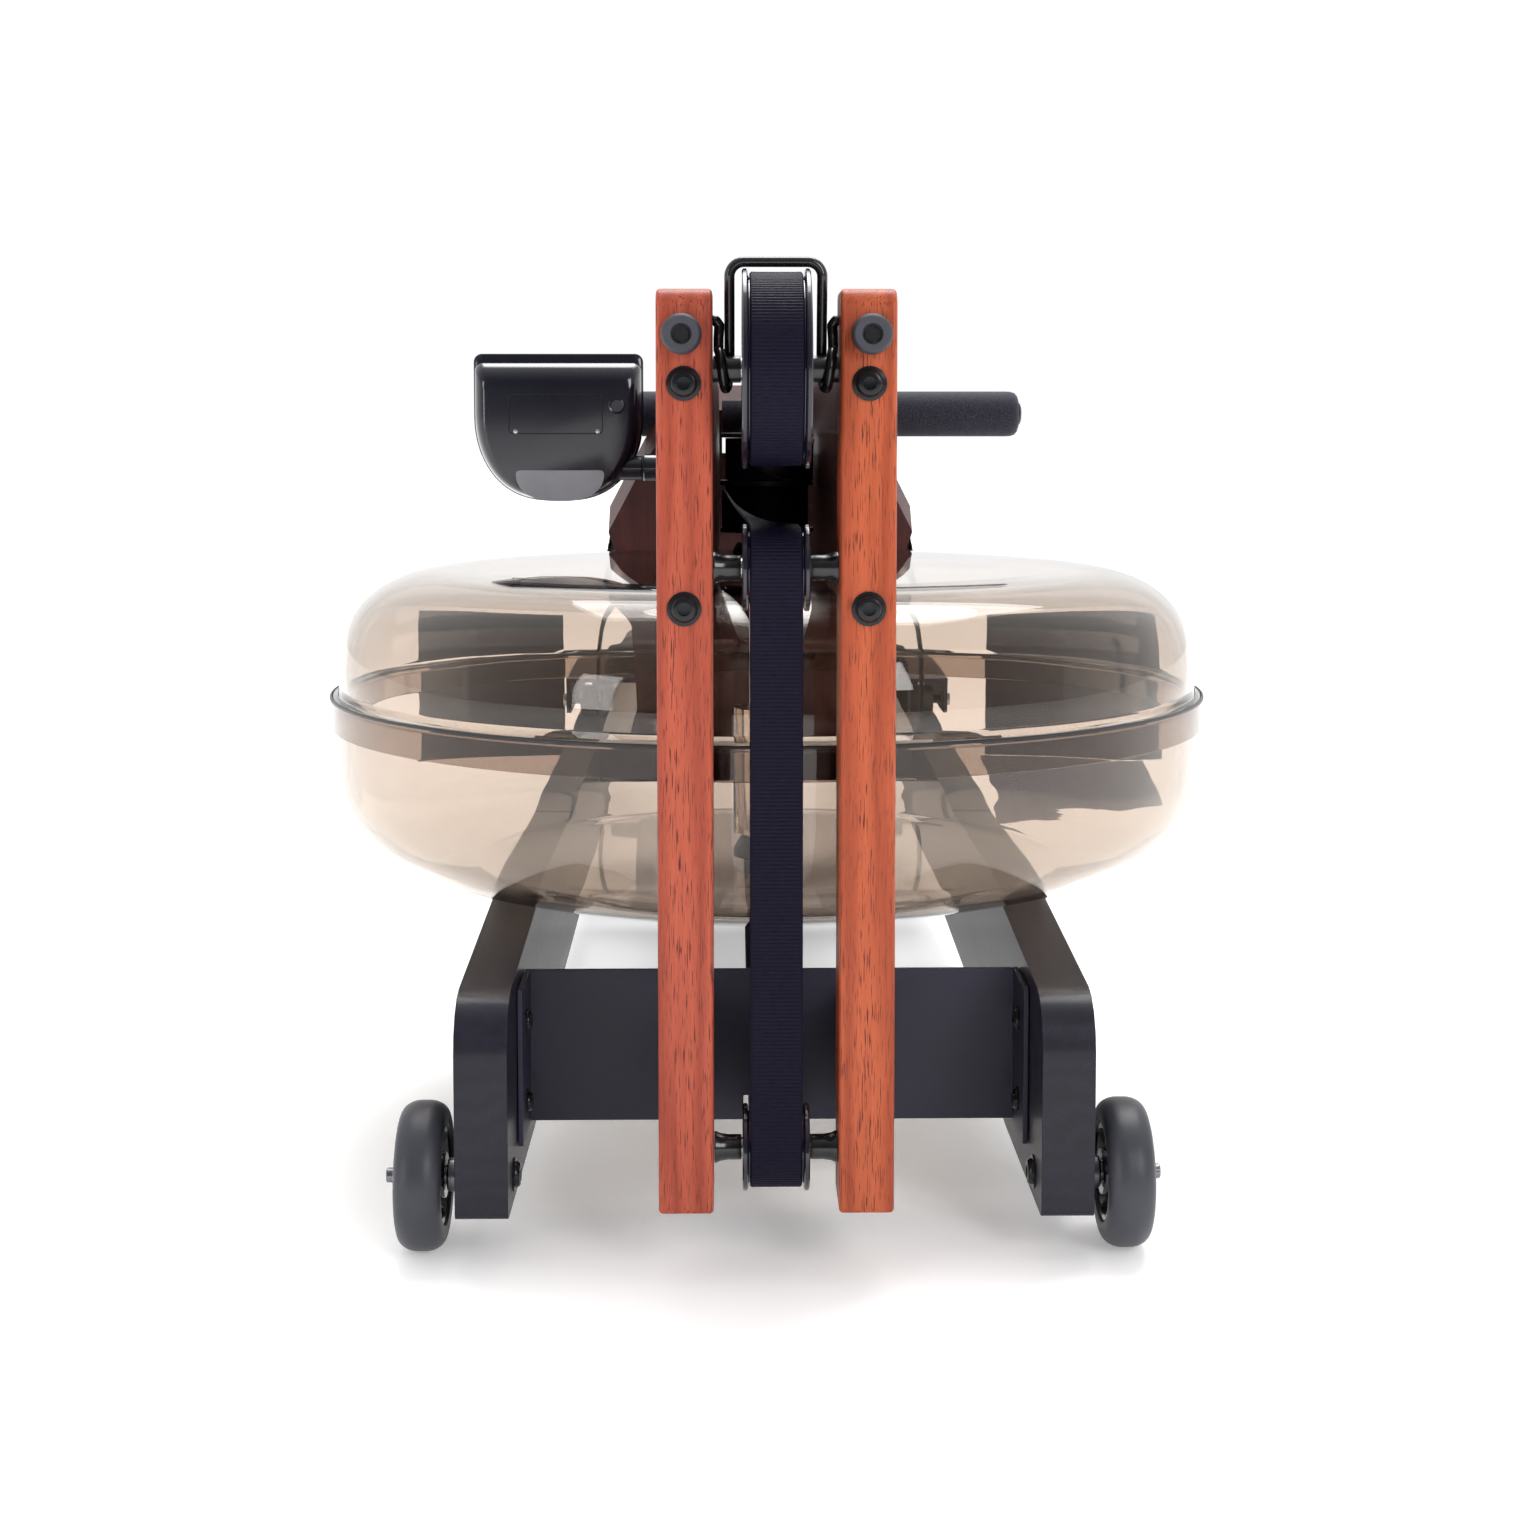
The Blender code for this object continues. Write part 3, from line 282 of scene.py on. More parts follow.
def clear_plastic(name, tint, ior=1.38, roughness=0.0):
    """Smoked clear plastic with faint flow marks from moulding."""
    paint = Paint(name, roughness=roughness, IOR=ior, Transmission_Weight=1.0)
    flow = paint.noise(paint.stretched((9, 9, 14)), 1.0, 2.0, 0.5)
    low = tuple(channel * 0.97 for channel in tint)
    colour = paint.ramp(flow, [(0.3, low), (0.7, tint)])
    paint.bump(flow, 0.05, 0.0006)
    return paint.finish(colour)


def make_materials():
    warm = ((0.480, 0.106, 0.042), (0.400, 0.078, 0.030), (0.285, 0.048, 0.018))
    calm = ((0.430, 0.088, 0.047), (0.360, 0.066, 0.035), (0.260, 0.042, 0.022))
    # Painted shade: the same rosewood as the risers, made much darker, so the beam and footboard
    # look shadowed under any lamp.
    painted_shade_rosewood = ((0.075, 0.016, 0.014), (0.054, 0.011, 0.010), (0.036, 0.008, 0.007))
    pore = (0.090, 0.014, 0.008)
    black = ((0.0125, 0.0120, 0.0240), (0.0100, 0.0096, 0.0195), (0.0075, 0.0072, 0.0140))
    black_pore = (0.004, 0.004, 0.006)
    board_turn = (FOOTBOARD_ANGLE, 0, 0)
    return {
        "left_riser": wood("rosewood_left_riser", "Z", *calm, pore, 0.3),
        "right_riser": wood("rosewood_right_riser", "Z", *warm, pore, 1.9),
        # The beam and footboard take the darkened rosewood above: painted shade, not a different
        # stain.
        "beam": wood("rosewood_beam_painted_shade", "Y", *painted_shade_rosewood, pore, 3.1),
        "footboard": wood("rosewood_footboard_painted_shade", "Y", *painted_shade_rosewood, pore, 4.4, turn=board_turn),
        "black_wood": wood("black_wood", "Y", *black, black_pore, 0.7, 0.38, 0.18),
        "black_bar": wood("black_wood_bar", "X", *black, black_pore, 2.2, 0.44, 0.08),
        "black_metal": moulded("black_metal", (0.020, 0.020, 0.042), 0.46, 500, 0.00008, 0.02),
        "wire": moulded("black_wire", (0.008, 0.008, 0.010), 0.20, 300, 0.00003, 0.3),
        "bolt": moulded("black_oxide_bolt", (0.005, 0.006, 0.008), 0.20, 500, 0.00003, 0.1,
                        shine=0.25),
        "steel": metal("steel", (0.55, 0.55, 0.57), 0.24, "X"),
        "shaft": metal("shaft_steel", (0.60, 0.60, 0.61), 0.2, "Z"),
        "dark_steel": metal("dark_steel", (0.20, 0.20, 0.22), 0.28, "X"),
        "plastic": moulded("black_plastic", (0.010, 0.010, 0.013), 0.34, 1100, 0.00005),
        "gloss": moulded("gloss_black_plastic", (0.006, 0.006, 0.014), 0.14, 700, 0.00002, 0.5),
        "screen": moulded("screen_glass", (0.030, 0.036, 0.034), 0.08, 60, 0.00001, 0.8),
        "digit": moulded("screen_segments", (0.10, 0.11, 0.10), 0.25, 200, 0.00001),
        "label": moulded("silver_label", (0.31, 0.31, 0.34), 0.34, 400, 0.00002, metallic=0.45),
        "rubber": moulded("rubber", (0.036, 0.038, 0.048), 0.42, 420, 0.00012),
        "grey_rubber": moulded("grey_rubber", (0.036, 0.036, 0.048), 0.55, 500, 0.00012),
        "key_rubber": moulded("key_rubber", (0.11, 0.12, 0.13), 0.55, 600, 0.0001),
        "foam": foam("foam", (0.011, 0.010, 0.020), (0.070, 0.070, 0.098)),
        "webbing": webbing("webbing", (0.0045, 0.0036, 0.0120)),
        "foot_webbing": webbing("foot_webbing", (0.009, 0.008, 0.011), 520.0),
        "cord": webbing("bungee_cover", (0.009, 0.009, 0.011), 700.0),
        "cover": foam("seat_cover", (0.010, 0.010, 0.012), (0.032, 0.033, 0.037)),
        "tank": clear_plastic("smoked_plastic", (0.700, 0.625, 0.560)),
        "band": clear_plastic("rim_plastic", (0.46, 0.38, 0.33)),
        "paddle": clear_plastic("paddle_plastic", (0.62, 0.52, 0.44), roughness=0.12),
    }


MATERIALS = make_materials()
# The slot that each material's pieces go in, unless a piece says otherwise.
SLOTS = {
    "rosewood": ("left_riser", "right_riser", "beam", "footboard"),
    "black_wood": ("black_wood", "black_bar"),
    "black_metal": ("black_metal", "wire", "bolt"),
    "steel": ("steel", "shaft", "dark_steel"),
    "black_plastic": ("plastic", "gloss", "screen", "digit", "label"),
    "rubber": ("rubber", "key_rubber"),
    "grey_rubber": ("grey_rubber",),
    "foam": ("foam",),
    "webbing": ("webbing", "foot_webbing", "cord"),
    "seat_cover": ("cover",),
    "smoked_plastic": ("tank", "band", "paddle"),
}
SLOT_OF = {look: slot for slot, looks in SLOTS.items() for look in looks}


# ---------------------------------------------------------------- making pieces


def add_piece(name, bm, material, body, replaces=(), slot=None):
    """A mesh piece built in the row frame, riding on a body, in its material's usual slot."""
    slot = slot or SLOT_OF[material]
    bmesh.ops.recalc_face_normals(bm, faces=bm.faces)
    mesh = bpy.data.meshes.new(name)
    bm.to_mesh(mesh)
    bm.free()
    mesh.shade_smooth()
    mesh.set_sharp_from_angle(angle=SHARP_ANGLE)
    item = bpy.data.objects.new(name, mesh)
    mesh.materials.append(MATERIALS[material])
    bpy.context.scene.collection.objects.link(item)
    if body:
        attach(item, body)
    if replaces:
        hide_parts(*replaces)
    return item


def apply_modifiers(item):
    """Bake an object's modifiers into its mesh."""
    graph = bpy.context.evaluated_depsgraph_get()
    mesh = bpy.data.meshes.new_from_object(item.evaluated_get(graph))
    item.modifiers.clear()
    item.data = mesh


def refined(node, material, body, width=0.0015, segments=3):
    """A CAD solid's own shape again with machined, rounded edges."""
    bm = bmesh.new()
    bm.from_mesh(NODES[node].data)
    bmesh.ops.remove_doubles(bm, verts=bm.verts, dist=1e-6)
    bmesh.ops.dissolve_limit(bm, angle_limit=math.radians(0.5), verts=bm.verts, edges=bm.edges)
    item = add_piece(f"{node}_piece", bm, material, body, (node,))
    bevel = item.modifiers.new("edges", "BEVEL")
    bevel.width = width
    bevel.segments = segments
    bevel.limit_method = "ANGLE"
    bevel.angle_limit = math.radians(28)
    bevel.harden_normals = True
    apply_modifiers(item)
    return item


def lathe(name, profile, axis, centre, material, body, replaces=(), steps=72, slot=None):
    """Spin a (radius, along) outline; one that starts and ends at radius 0 is solid."""
    along = AXES[axis]
    side = X_AXIS if axis == "Z" else Z_AXIS
    centre = Vector(centre)
    bm = bmesh.new()
    verts = [bm.verts.new(centre + side * radius + along * step) for radius, step in profile]
    edges = [bm.edges.new(pair) for pair in zip(verts, verts[1:])]
    if profile[0][0] > 0:
        edges.append(bm.edges.new((verts[-1], verts[0])))
    bmesh.ops.spin(bm, geom=verts + edges, cent=centre, axis=along, angle=2 * math.pi,
                   steps=steps, use_merge=True)
    bmesh.ops.remove_doubles(bm, verts=bm.verts, dist=1e-6)
    return add_piece(name, bm, material, body, replaces, slot)


def both_ways(half):
    """A (radius, along) outline followed by its mirrored half, last point first."""
    return half + [(radius, -along) for radius, along in half[::-1]]


def facing(profile, sign):
    """A (radius, along) outline that runs along +axis, turned to run along the sign's side."""
    return [(radius, sign * along) for radius, along in profile]


def pin(radius, reach):
    """The outline of a plain round bar, centred, that reaches as far each way."""
    return [(0, -reach), (radius, -reach), (radius, reach), (0, reach)]


def curve_through(points, steps):
    """A Catmull-Rom curve through vectors, in even steps between each two."""
    result = []
    for index in range(len(points) - 1):
        before = points[max(index - 1, 0)]
        first, second = points[index], points[index + 1]
        after = points[min(index + 2, len(points) - 1)]
        for step in range(steps):
            t = step / steps
            result.append(0.5 * (2 * first + (second - before) * t
                                 + (2 * before - 5 * first + 4 * second - after) * t ** 2
                                 + (3 * first - before - 3 * second + after) * t ** 3))
    result.append(points[-1])
    return result


def rounded(corners, steps=6):
    """An outline through (a, b, radius) corners, each turned by an arc of its radius."""
    outline = []
    for index, (a, b, radius) in enumerate(corners):
        corner = Vector((a, b))
        before = (Vector(corners[index - 1][:2]) - corner).normalized()
        after = (Vector(corners[(index + 1) % len(corners)][:2]) - corner).normalized()
        if radius <= 0 or before.length < 0.5 or after.length < 0.5:
            outline.append((a, b))
            continue
        half = before.angle(after) / 2
        reach = radius / math.tan(half)
        centre = corner + (before + after).normalized() * (radius / math.sin(half))
        start = corner + before * reach - centre
        sweep = start.angle_signed(corner + after * reach - centre)
        for step in range(steps + 1):
            outline.append(tuple(centre + Matrix.Rotation(-sweep * step / steps, 2) @ start))
    return outline


def slab(outline, axis, low, high, bevel=0.0, segments=3):
    """Extrude an outline along X (points are y, z), Y (x, z) or Z (x, y), with rounded rims."""
    place = {
        "X": lambda a, b: (low, a, b),
        "Y": lambda a, b: (a, low, b),
        "Z": lambda a, b: (a, b, low),
    }[axis]
    bm = bmesh.new()
    face = bm.faces.new([bm.verts.new(place(a, b)) for a, b in outline])
    grown = bmesh.ops.extrude_face_region(bm, geom=[face])["geom"]
    moved = [part for part in grown if isinstance(part, bmesh.types.BMVert)]
    bmesh.ops.translate(bm, verts=moved, vec=AXES[axis] * (high - low))
    if bevel:
        rims = [edge for edge in bm.edges if abs((edge.verts[0].co - edge.verts[1].co)
                                                 .dot(AXES[axis])) < 1e-7]
        bmesh.ops.bevel(bm, geom=rims, offset=bevel, segments=segments, profile=0.5,
                        affect="EDGES")
    return bm


def block(low, high, bevel=0.0008):
    """A box with softened edges."""
    outline = [(low[0], low[1]), (high[0], low[1]), (high[0], high[1]), (low[0], high[1])]
    bm = slab(outline, "Z", low[2], high[2])
    bmesh.ops.bevel(bm, geom=bm.edges[:], offset=bevel, segments=3, profile=0.5, affect="EDGES")
    return bm


def placed(bm, matrix):
    bmesh.ops.transform(bm, matrix=matrix, verts=bm.verts)
    return bm


def tube(name, points, radius, material, body, replaces=(), smooth=True):
    """A round wire or cord along a smooth curve through the points, as a mesh."""
    curve = bpy.data.curves.new(name, "CURVE")
    curve.dimensions = "3D"
    curve.bevel_depth = radius
    curve.bevel_resolution = 6
    curve.use_fill_caps = True
    if smooth:
        spline = curve.splines.new("NURBS")
        spline.order_u = 3
        spline.use_endpoint_u = True
        spline.resolution_u = 6
    else:
        spline = curve.splines.new("POLY")
    spline.points.add(len(points) - 1)
    for target, point in zip(spline.points, points):
        target.co = (*point, 1.0)
    item = bpy.data.objects.new(name, curve)
    bpy.context.scene.collection.objects.link(item)
    graph = bpy.context.evaluated_depsgraph_get()
    mesh = bpy.data.meshes.new_from_object(item.evaluated_get(graph))
    bpy.data.objects.remove(item, do_unlink=True)
    bm = bmesh.new()
    bm.from_mesh(mesh)
    bmesh.ops.remove_doubles(bm, verts=bm.verts, dist=1e-7)
    return add_piece(name, bm, material, body, replaces)


def strap(name, stations, width, thickness, material, body, replaces=(), rib=0.0):
    """Sweep a flat strap through (centre, width direction, thickness direction) stations.

    With a rib depth, every third station is thinner, so the faces show woven cross ribs.
    """
    bm = bmesh.new()
    layer = bm.loops.layers.uv.new("UVMap")
    loops = []
    length = 0.0
    lengths = []
    edge_round = thickness * 0.45
    for index, (centre, across, through) in enumerate(stations):
        if index:
            length += (Vector(centre) - Vector(stations[index - 1][0])).length
        lengths.append(length)
        half_w = width / 2
        half_t = thickness / 2 - (rib if index % 3 == 0 else 0.0)
        section = [
            (half_w, 0), (half_w - edge_round, half_t), (half_w * 0.80, half_t),
            (half_w * 0.76, half_t * 0.93), (-half_w * 0.76, half_t * 0.93),
            (-half_w * 0.80, half_t), (edge_round - half_w, half_t), (-half_w, 0),
            (edge_round - half_w, -half_t), (half_w - edge_round, -half_t),
        ]
        across, through = Vector(across), Vector(through)
        loops.append([bm.verts.new(Vector(centre) + across * a + through * t)
                      for a, t in section])
    count = len(loops[0])
    for step in range(len(loops) - 1):
        for index in range(count):
            after = (index + 1) % count
            face = bm.faces.new((loops[step][index], loops[step][after],
                                 loops[step + 1][after], loops[step + 1][index]))
            places = ((index, step), (index + 1, step), (index + 1, step + 1), (index, step + 1))
            for loop, (u, v) in zip(face.loops, places):
                loop[layer].uv = (u * width / 5, lengths[v])
    bm.faces.new(loops[0])
    bm.faces.new(loops[-1])
    return add_piece(name, bm, material, body, replaces)


def resampled(stations, pitch):
    """Even stations about a pitch apart along a list of stations."""
    result = []
    for first, second in zip(stations, stations[1:]):
        run = (Vector(second[0]) - Vector(first[0])).length
        steps = max(1, round(run / pitch))
        for step in range(steps):
            part = step / steps
            result.append(tuple(Vector(a).lerp(Vector(b), part) for a, b in zip(first, second)))
    result.append(stations[-1])
    return [(centre, across.normalized(), through.normalized())
            for centre, across, through in result]


def bolt(name, place, side, radius, body, material="bolt", depth=0.004):
    """A button-head socket bolt on a washer; its side is an axis letter with its sign."""
    sign = -1 if side[0] == "-" else 1
    axis = side[-1]
    socket = radius * 0.38
    profile = [
        (0, 0), (radius, 0), (radius, 0.0009), (radius * 0.80, 0.0012),
        (radius * 0.78, depth * 0.6), (radius * 0.66, depth * 0.92), (radius * 0.50, depth),
        (socket, depth),
        (socket * 0.96, depth * 0.35), (0, depth * 0.30),
    ]
    return lathe(name, facing(profile, sign), axis, place, material, body, steps=36)


# ---------------------------------------------------------------- timber and plates


def add_timber():
    """The boards, plates and feet keep their CAD shapes, with rounded edges."""
    for side, _ in SIDES:
        refined(f"{side}_riser", f"{side}_riser", "frame", 0.0022, 4)
        refined(f"{side}_deck_beam", "beam", "frame", 0.0022, 4)
        refined(f"{side}_rail", "black_wood", "frame", 0.0016, 4)
        refined(f"{side}_rear_foot", "rubber", "frame", 0.0015)
    refined("footboard", "footboard", "frame", 0.0025, 4)
    refined("footboard_crossbar", "black_bar", "frame", 0.0025)
    refined("rear_spacer", "black_bar", "frame", 0.0025)
    refined("front_cross_plate", "black_metal", "frame", 0.0006, 2)
    refined("bungee_bracket", "black_metal", "frame", 0.0006, 2)


def add_riser_fittings():
    """Storage bumpers with hexagon recesses, and the bolts that join risers and beams."""
    beam_bolt_heights = (0.468, 0.354)
    bumper_radius = 0.01025
    for side, sign in SIDES:
        place = middle(f"{side}_bumper")
        x = place.x
        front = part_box(f"{side}_bumper")[0].y
        profile = [
            (0, 0), (bumper_radius, 0), (bumper_radius, -0.0066), (0.0098, -0.0080),
            (0.0088, -0.0089), (0.0070, -0.0090), (0.0054, -0.0088), (0.0050, -0.0080),
            (0.0048, -0.0042), (0, -0.0040),
        ]
        lathe(f"{side}_bumper_piece", profile, "Y", (x, behind(-GAP), place.z), "grey_rubber",
              "frame", (f"{side}_bumper",), 48)
        head = [(0, 0), (0.0042, 0), (0.0042, -0.0012), (0, -0.0012)]
        screw = lathe(f"{side}_bumper_screw", head, "Y", (x, front + 0.0046, place.z), "wire",
                      "frame", steps=6)
        screw.data.shade_flat()
        for number, height in enumerate(beam_bolt_heights, 1):
            bolt(f"{side}_riser_bolt_{number}", (x - sign * 0.001, behind(0), height), "-Y",
                 0.0088, "frame", depth=0.0042)


def add_plate_bolts():
    """Bolts through the cross plate's side flanges, and the wheel bolts' inner heads."""
    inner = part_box("right_rail")[0].x
    wheel = middle("right_wheel")
    for side, sign in SIDES:
        inward = "-X" if sign > 0 else "X"
        for number, height in enumerate((0.113, 0.067), 1):
            place = (sign * (inner - 0.0033), behind(0.108), height)
            bolt(f"{side}_flange_bolt_{number}", place, inward, 0.0068, "frame", depth=0.0034)
        bolt(f"{side}_wheel_bolt_head", (sign * inner, wheel.y, wheel.z), inward, 0.0090,
             "frame", depth=0.0040)


# ---------------------------------------------------------------- tank and rotor


def smooth_outline(points, steps=6):
    """A smooth outline through (radius, height) points."""
    return [tuple(point) for point in curve_through([Vector(point) for point in points], steps)]


def walled(points, wall):
    """The same outline one wall thickness in, in reverse, to close a shell's section."""
    inner = []
    for index, (radius, height) in enumerate(points):
        before = Vector(points[max(index - 1, 0)])
        after = Vector(points[min(index + 1, len(points) - 1)])
        run = (after - before).normalized()
        inner.append((radius - run.y * wall, height + run.x * wall))
    return inner[::-1]


def add_tank():
    """Two clear shells, the rim band and seal that join them, and the shaft's bearings."""
    centre = middle("paddle_shaft")
    centre.z = 0
    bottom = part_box("tank_lower_shell")[0].z
    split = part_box("tank_lower_shell")[1].z
    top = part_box("tank_upper_shell")[1].z
    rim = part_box("tank_lower_shell")[1].x
    wall = 0.004
    belly = rim - 0.0015
    rim_low = split - 0.0157
    rim_high = split + 0.0040
    lip = 0.0008
    curve = smooth_outline([(0.190, bottom), (0.218, bottom + 0.0070), (0.240, bottom + 0.0137),
                            (0.2545, bottom + 0.0215), (0.2665, bottom + 0.0320),
                            (0.2755, bottom + 0.0465), (belly - 0.0010, bottom + 0.0640),
                            (belly, rim_low - 0.014), (belly, rim_low)])
    outer = [(0, bottom), (0.17, bottom)] + curve
    flange = [(belly, split), (belly - wall, split)]
    lathe("tank_lower_shell_piece", outer + flange + walled(outer, wall), "Z", centre, "tank",
          "frame", ("tank_lower_shell",), 144)
    low = split + GAP
    high = rim_high
    side = rim - 0.0060
    flange = [
        (side - wall, low), (belly, low), (belly, high - lip), (belly - lip, high),
        (side + 0.0025, high), (side + 0.0010, high + 0.0010),
    ]
    curve = smooth_outline([(side, high + 0.004), (side, top - 0.062), (side - 0.0030, top - 0.044),
                            (side - 0.0125, top - 0.0245), (side - 0.0300, top - 0.0100),
                            (side - 0.0545, top - 0.0020), (side - 0.085, top)])
    outer = curve + [(0.075, top), (0.0138, top)]
    shell = lathe("tank_upper_shell_piece", flange + outer + walled(outer, wall), "Z", centre,
                  "tank", "frame", ("tank_upper_shell",), 144)
    cut_filler_hole(shell)
    inner = belly + 0.0001
    seam = high - 0.0018
    band = [(inner, rim_low), (rim - 0.0004, rim_low), (rim, rim_low + 0.0004), (rim, seam),
            (inner, seam)]
    lathe("tank_rim_band", band, "Z", centre, "band", "frame", steps=144)
    seal = [(inner, seam + 0.0001), (rim, seam + 0.0001), (rim, high - 0.0006),
            (rim - 0.0005, high), (inner, high)]
    lathe("tank_seal", seal, "Z", centre, "plastic", "frame", steps=144)
    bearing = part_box("top_bearing")
    collar = [
        (0.0119, bearing[0].z), (0.0262, bearing[0].z), (0.0262, bearing[0].z + 0.004),
        (0.0230, bearing[0].z + 0.006), (0.0215, bearing[1].z - 0.004),
        (0.0200, bearing[1].z - 0.001), (0.0185, bearing[1].z), (0.0119, bearing[1].z),
    ]
    lathe("top_bearing_piece", collar, "Z", centre, "plastic", "frame", ("top_bearing",))
    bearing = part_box("bottom_bearing")
    collar = [(0.0119, bearing[0].z), (0.022, bearing[0].z), (0.022, bearing[0].z + 0.005),
              (0.0175, bearing[1].z - 0.001), (0.0165, bearing[1].z), (0.0119, bearing[1].z)]
    lathe("bottom_bearing_piece", collar, "Z", centre, "plastic", "frame", ("bottom_bearing",))


def cut_filler_hole(shell):
    """Open the upper shell where the filler plug's neck goes in."""
    plug = middle("tank_plug")
    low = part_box("tank_plug")[0].z
    radius = 0.0131
    profile = [(0, low - 0.01), (radius, low - 0.01), (radius, low + 0.03), (0, low + 0.03)]
    cutter = lathe("filler_cutter", profile, "Z", (plug.x, plug.y, 0), "plastic", None, steps=48)
    modifier = shell.modifiers.new("filler", "BOOLEAN")
    modifier.operation = "DIFFERENCE"
    modifier.object = cutter
    apply_modifiers(shell)
    bpy.data.objects.remove(cutter, do_unlink=True)


def add_plug():
    """The filler plug: a neck in the hole, a flange on the shell and a knob to pull."""
    low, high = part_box("tank_plug")
    plug = middle("tank_plug")
    seat = low.z + 0.012
    outer = (high.x - low.x) / 2
    neck = outer - 0.004
    knob = 0.0070
    profile = [
        (0, low.z), (neck - 0.0015, low.z), (neck, low.z + 0.002), (neck, seat + GAP),
        (outer - 0.0008, seat + GAP), (outer, seat + 0.0012), (outer, seat + 0.0040),
        (outer - 0.0012, seat + 0.0058), (outer - 0.0030, seat + 0.0068),
        (knob + 0.0015, seat + 0.0070), (knob + 0.0004, seat + 0.0076),
        (knob, seat + 0.0088), (knob, high.z - 0.0013),
        (knob - 0.0010, high.z), (0, high.z),
    ]
    lathe("tank_plug_piece", profile, "Z", (plug.x, plug.y, 0), "rubber", "tank_plug",
          ("tank_plug",), slot="black_plastic")


def add_rotor():
    """The paddle on its shaft, and the drum above them."""
    centre = middle("paddle_shaft")
    low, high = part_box("paddle_shaft")
    radius = 0.0115
    profile = [
        (0, low.z), (radius, low.z), (radius, high.z - 0.0018), (radius - 0.0018, high.z),
        (0.0030, high.z), (0.0022, high.z - 0.0025), (0, high.z - 0.0028),
    ]
    lathe("paddle_shaft_piece", profile, "Z", (centre.x, centre.y, 0), "shaft", "rotor",
          ("paddle_shaft",))
    refined("paddle", "paddle", "rotor", 0.0007, 2)
    add_drum(centre)


def add_drum(centre):
    """Drum flanges with the two straps' windings between them."""
    low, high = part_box("strap_drum")
    flange_radius = 0.0305
    wound = 0.0270
    bore = 0.0119
    wall = 0.003
    slot = 0.0139
    gaps = ((low.z + wall, RECOIL_STRAP_Z + slot), (ROW_STRAP_Z - slot, high.z - wall))
    profile = [
        (bore, low.z), (flange_radius - 0.0006, low.z), (flange_radius, low.z + 0.0006),
        (flange_radius, gaps[0][0]), (0.016, gaps[0][0]), (0.016, gaps[0][1]),
        (flange_radius, gaps[0][1]), (flange_radius, gaps[1][0]), (0.016, gaps[1][0]),
        (0.016, gaps[1][1]), (flange_radius, gaps[1][1]), (flange_radius, high.z - 0.0006),
        (flange_radius - 0.0006, high.z), (0.020, high.z), (0.019, high.z - 0.0012),
        (0.0145, high.z - 0.0012), (0.0140, high.z), (bore, high.z),
    ]
    lathe("strap_drum_piece", profile, "Z", (centre.x, centre.y, 0), "plastic", "drum",
          ("strap_drum",))
    for name, (start, end) in zip(("recoil", "row"), gaps):
        rings = [(0.0163, start + GAP)]
        turns = 7
        for turn in range(turns + 1):
            radius = 0.0170 + (wound - 0.0170) * turn / turns
            rings.append((radius, start + GAP + 0.0001 * (turn % 2)))
        rings.append((wound, end - GAP))
        rings.append((0.0163, end - GAP))
        lathe(f"{name}_strap_winding", rings, "Z", (centre.x, centre.y, 0), "webbing", "drum")


# ---------------------------------------------------------------- pulleys, straps and guard

STRAP_WIDTH = 0.0272
STRAP_THICKNESS = 0.0018
STRAP_OFFSET = GAP + STRAP_THICKNESS / 2
TOP_CORE = 0.0475
RECOIL_CORE = 0.0185
DRUM_RADIUS = 0.0271
RIB_PITCH = 0.00068
RIB_DEPTH = 0.00030


def pulley_section(bore, core, flange, half_width):
    """A strap pulley's section: thin flanges with rounded lips and a recessed web."""
    wall = 0.0030
    lip = 0.0007
    web = half_width - 0.0045
    hub = bore + 0.006
    half = [
        (bore, half_width), (hub, half_width), (hub + 0.0008, half_width - 0.001),
        (hub + 0.0012, web), (core - 0.0060, web), (core - 0.0052, half_width - 0.001),
        (core - 0.0044, half_width), (flange - lip, half_width), (flange, half_width - lip),
        (flange, half_width - wall + lip), (flange - lip * 1.4, half_width - wall),
        (core + 0.0004, half_width - wall + 0.0001), (core, half_width - wall - 0.0004),
    ]
    return both_ways(half)


def add_pulleys():
    """The three strap pulleys, each with its axle and what spaces it from the risers."""
    rows = (("top_pulley", TOP_CORE, 0.0513, 0.006, "top_pulley_axle"),
            ("upper_recoil_pulley", RECOIL_CORE, 0.0225, 0.005, "upper_recoil_axle"),
            ("lower_recoil_pulley", RECOIL_CORE, 0.0225, 0.005, "lower_recoil_axle"))
    for name, core, flange, axle_radius, axle in rows:
        centre = middle(name)
        section = pulley_section(axle_radius + GAP, core, flange, 0.0175)
        lathe(f"{name}_piece", section, "X", centre, "gloss", name, (name,), 96)
        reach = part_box(axle)[1].x
        lathe(f"{axle}_piece", pin(axle_radius, reach), "X", centre, "steel", "frame", (axle,), 48)
        spacer = axle_spacer(axle_radius, name == "top_pulley")
        kind = "sleeve" if name == "top_pulley" else "spacer"
        for side, sign in SIDES:
            lathe(f"{side}_{name}_{kind}", facing(spacer, sign), "X", centre, "wire", "frame",
                  steps=48)


def axle_spacer(bore, plain):
    """What keeps a pulley off the riser: a plain sleeve, or one that flares at the riser."""
    if plain:
        return [(bore + 0.0001, 0.0180), (0.0069, 0.0180), (0.0069, 0.0322),
                (bore + 0.0001, 0.0322)]
    return [
        (bore + 0.0002, 0.0180), (0.0064, 0.0180), (0.0066, 0.0190), (0.0066, 0.0250),
        (0.0072, 0.0290), (0.0082, 0.0312), (0.0082, 0.0322), (bore + 0.0002, 0.0322),
    ]


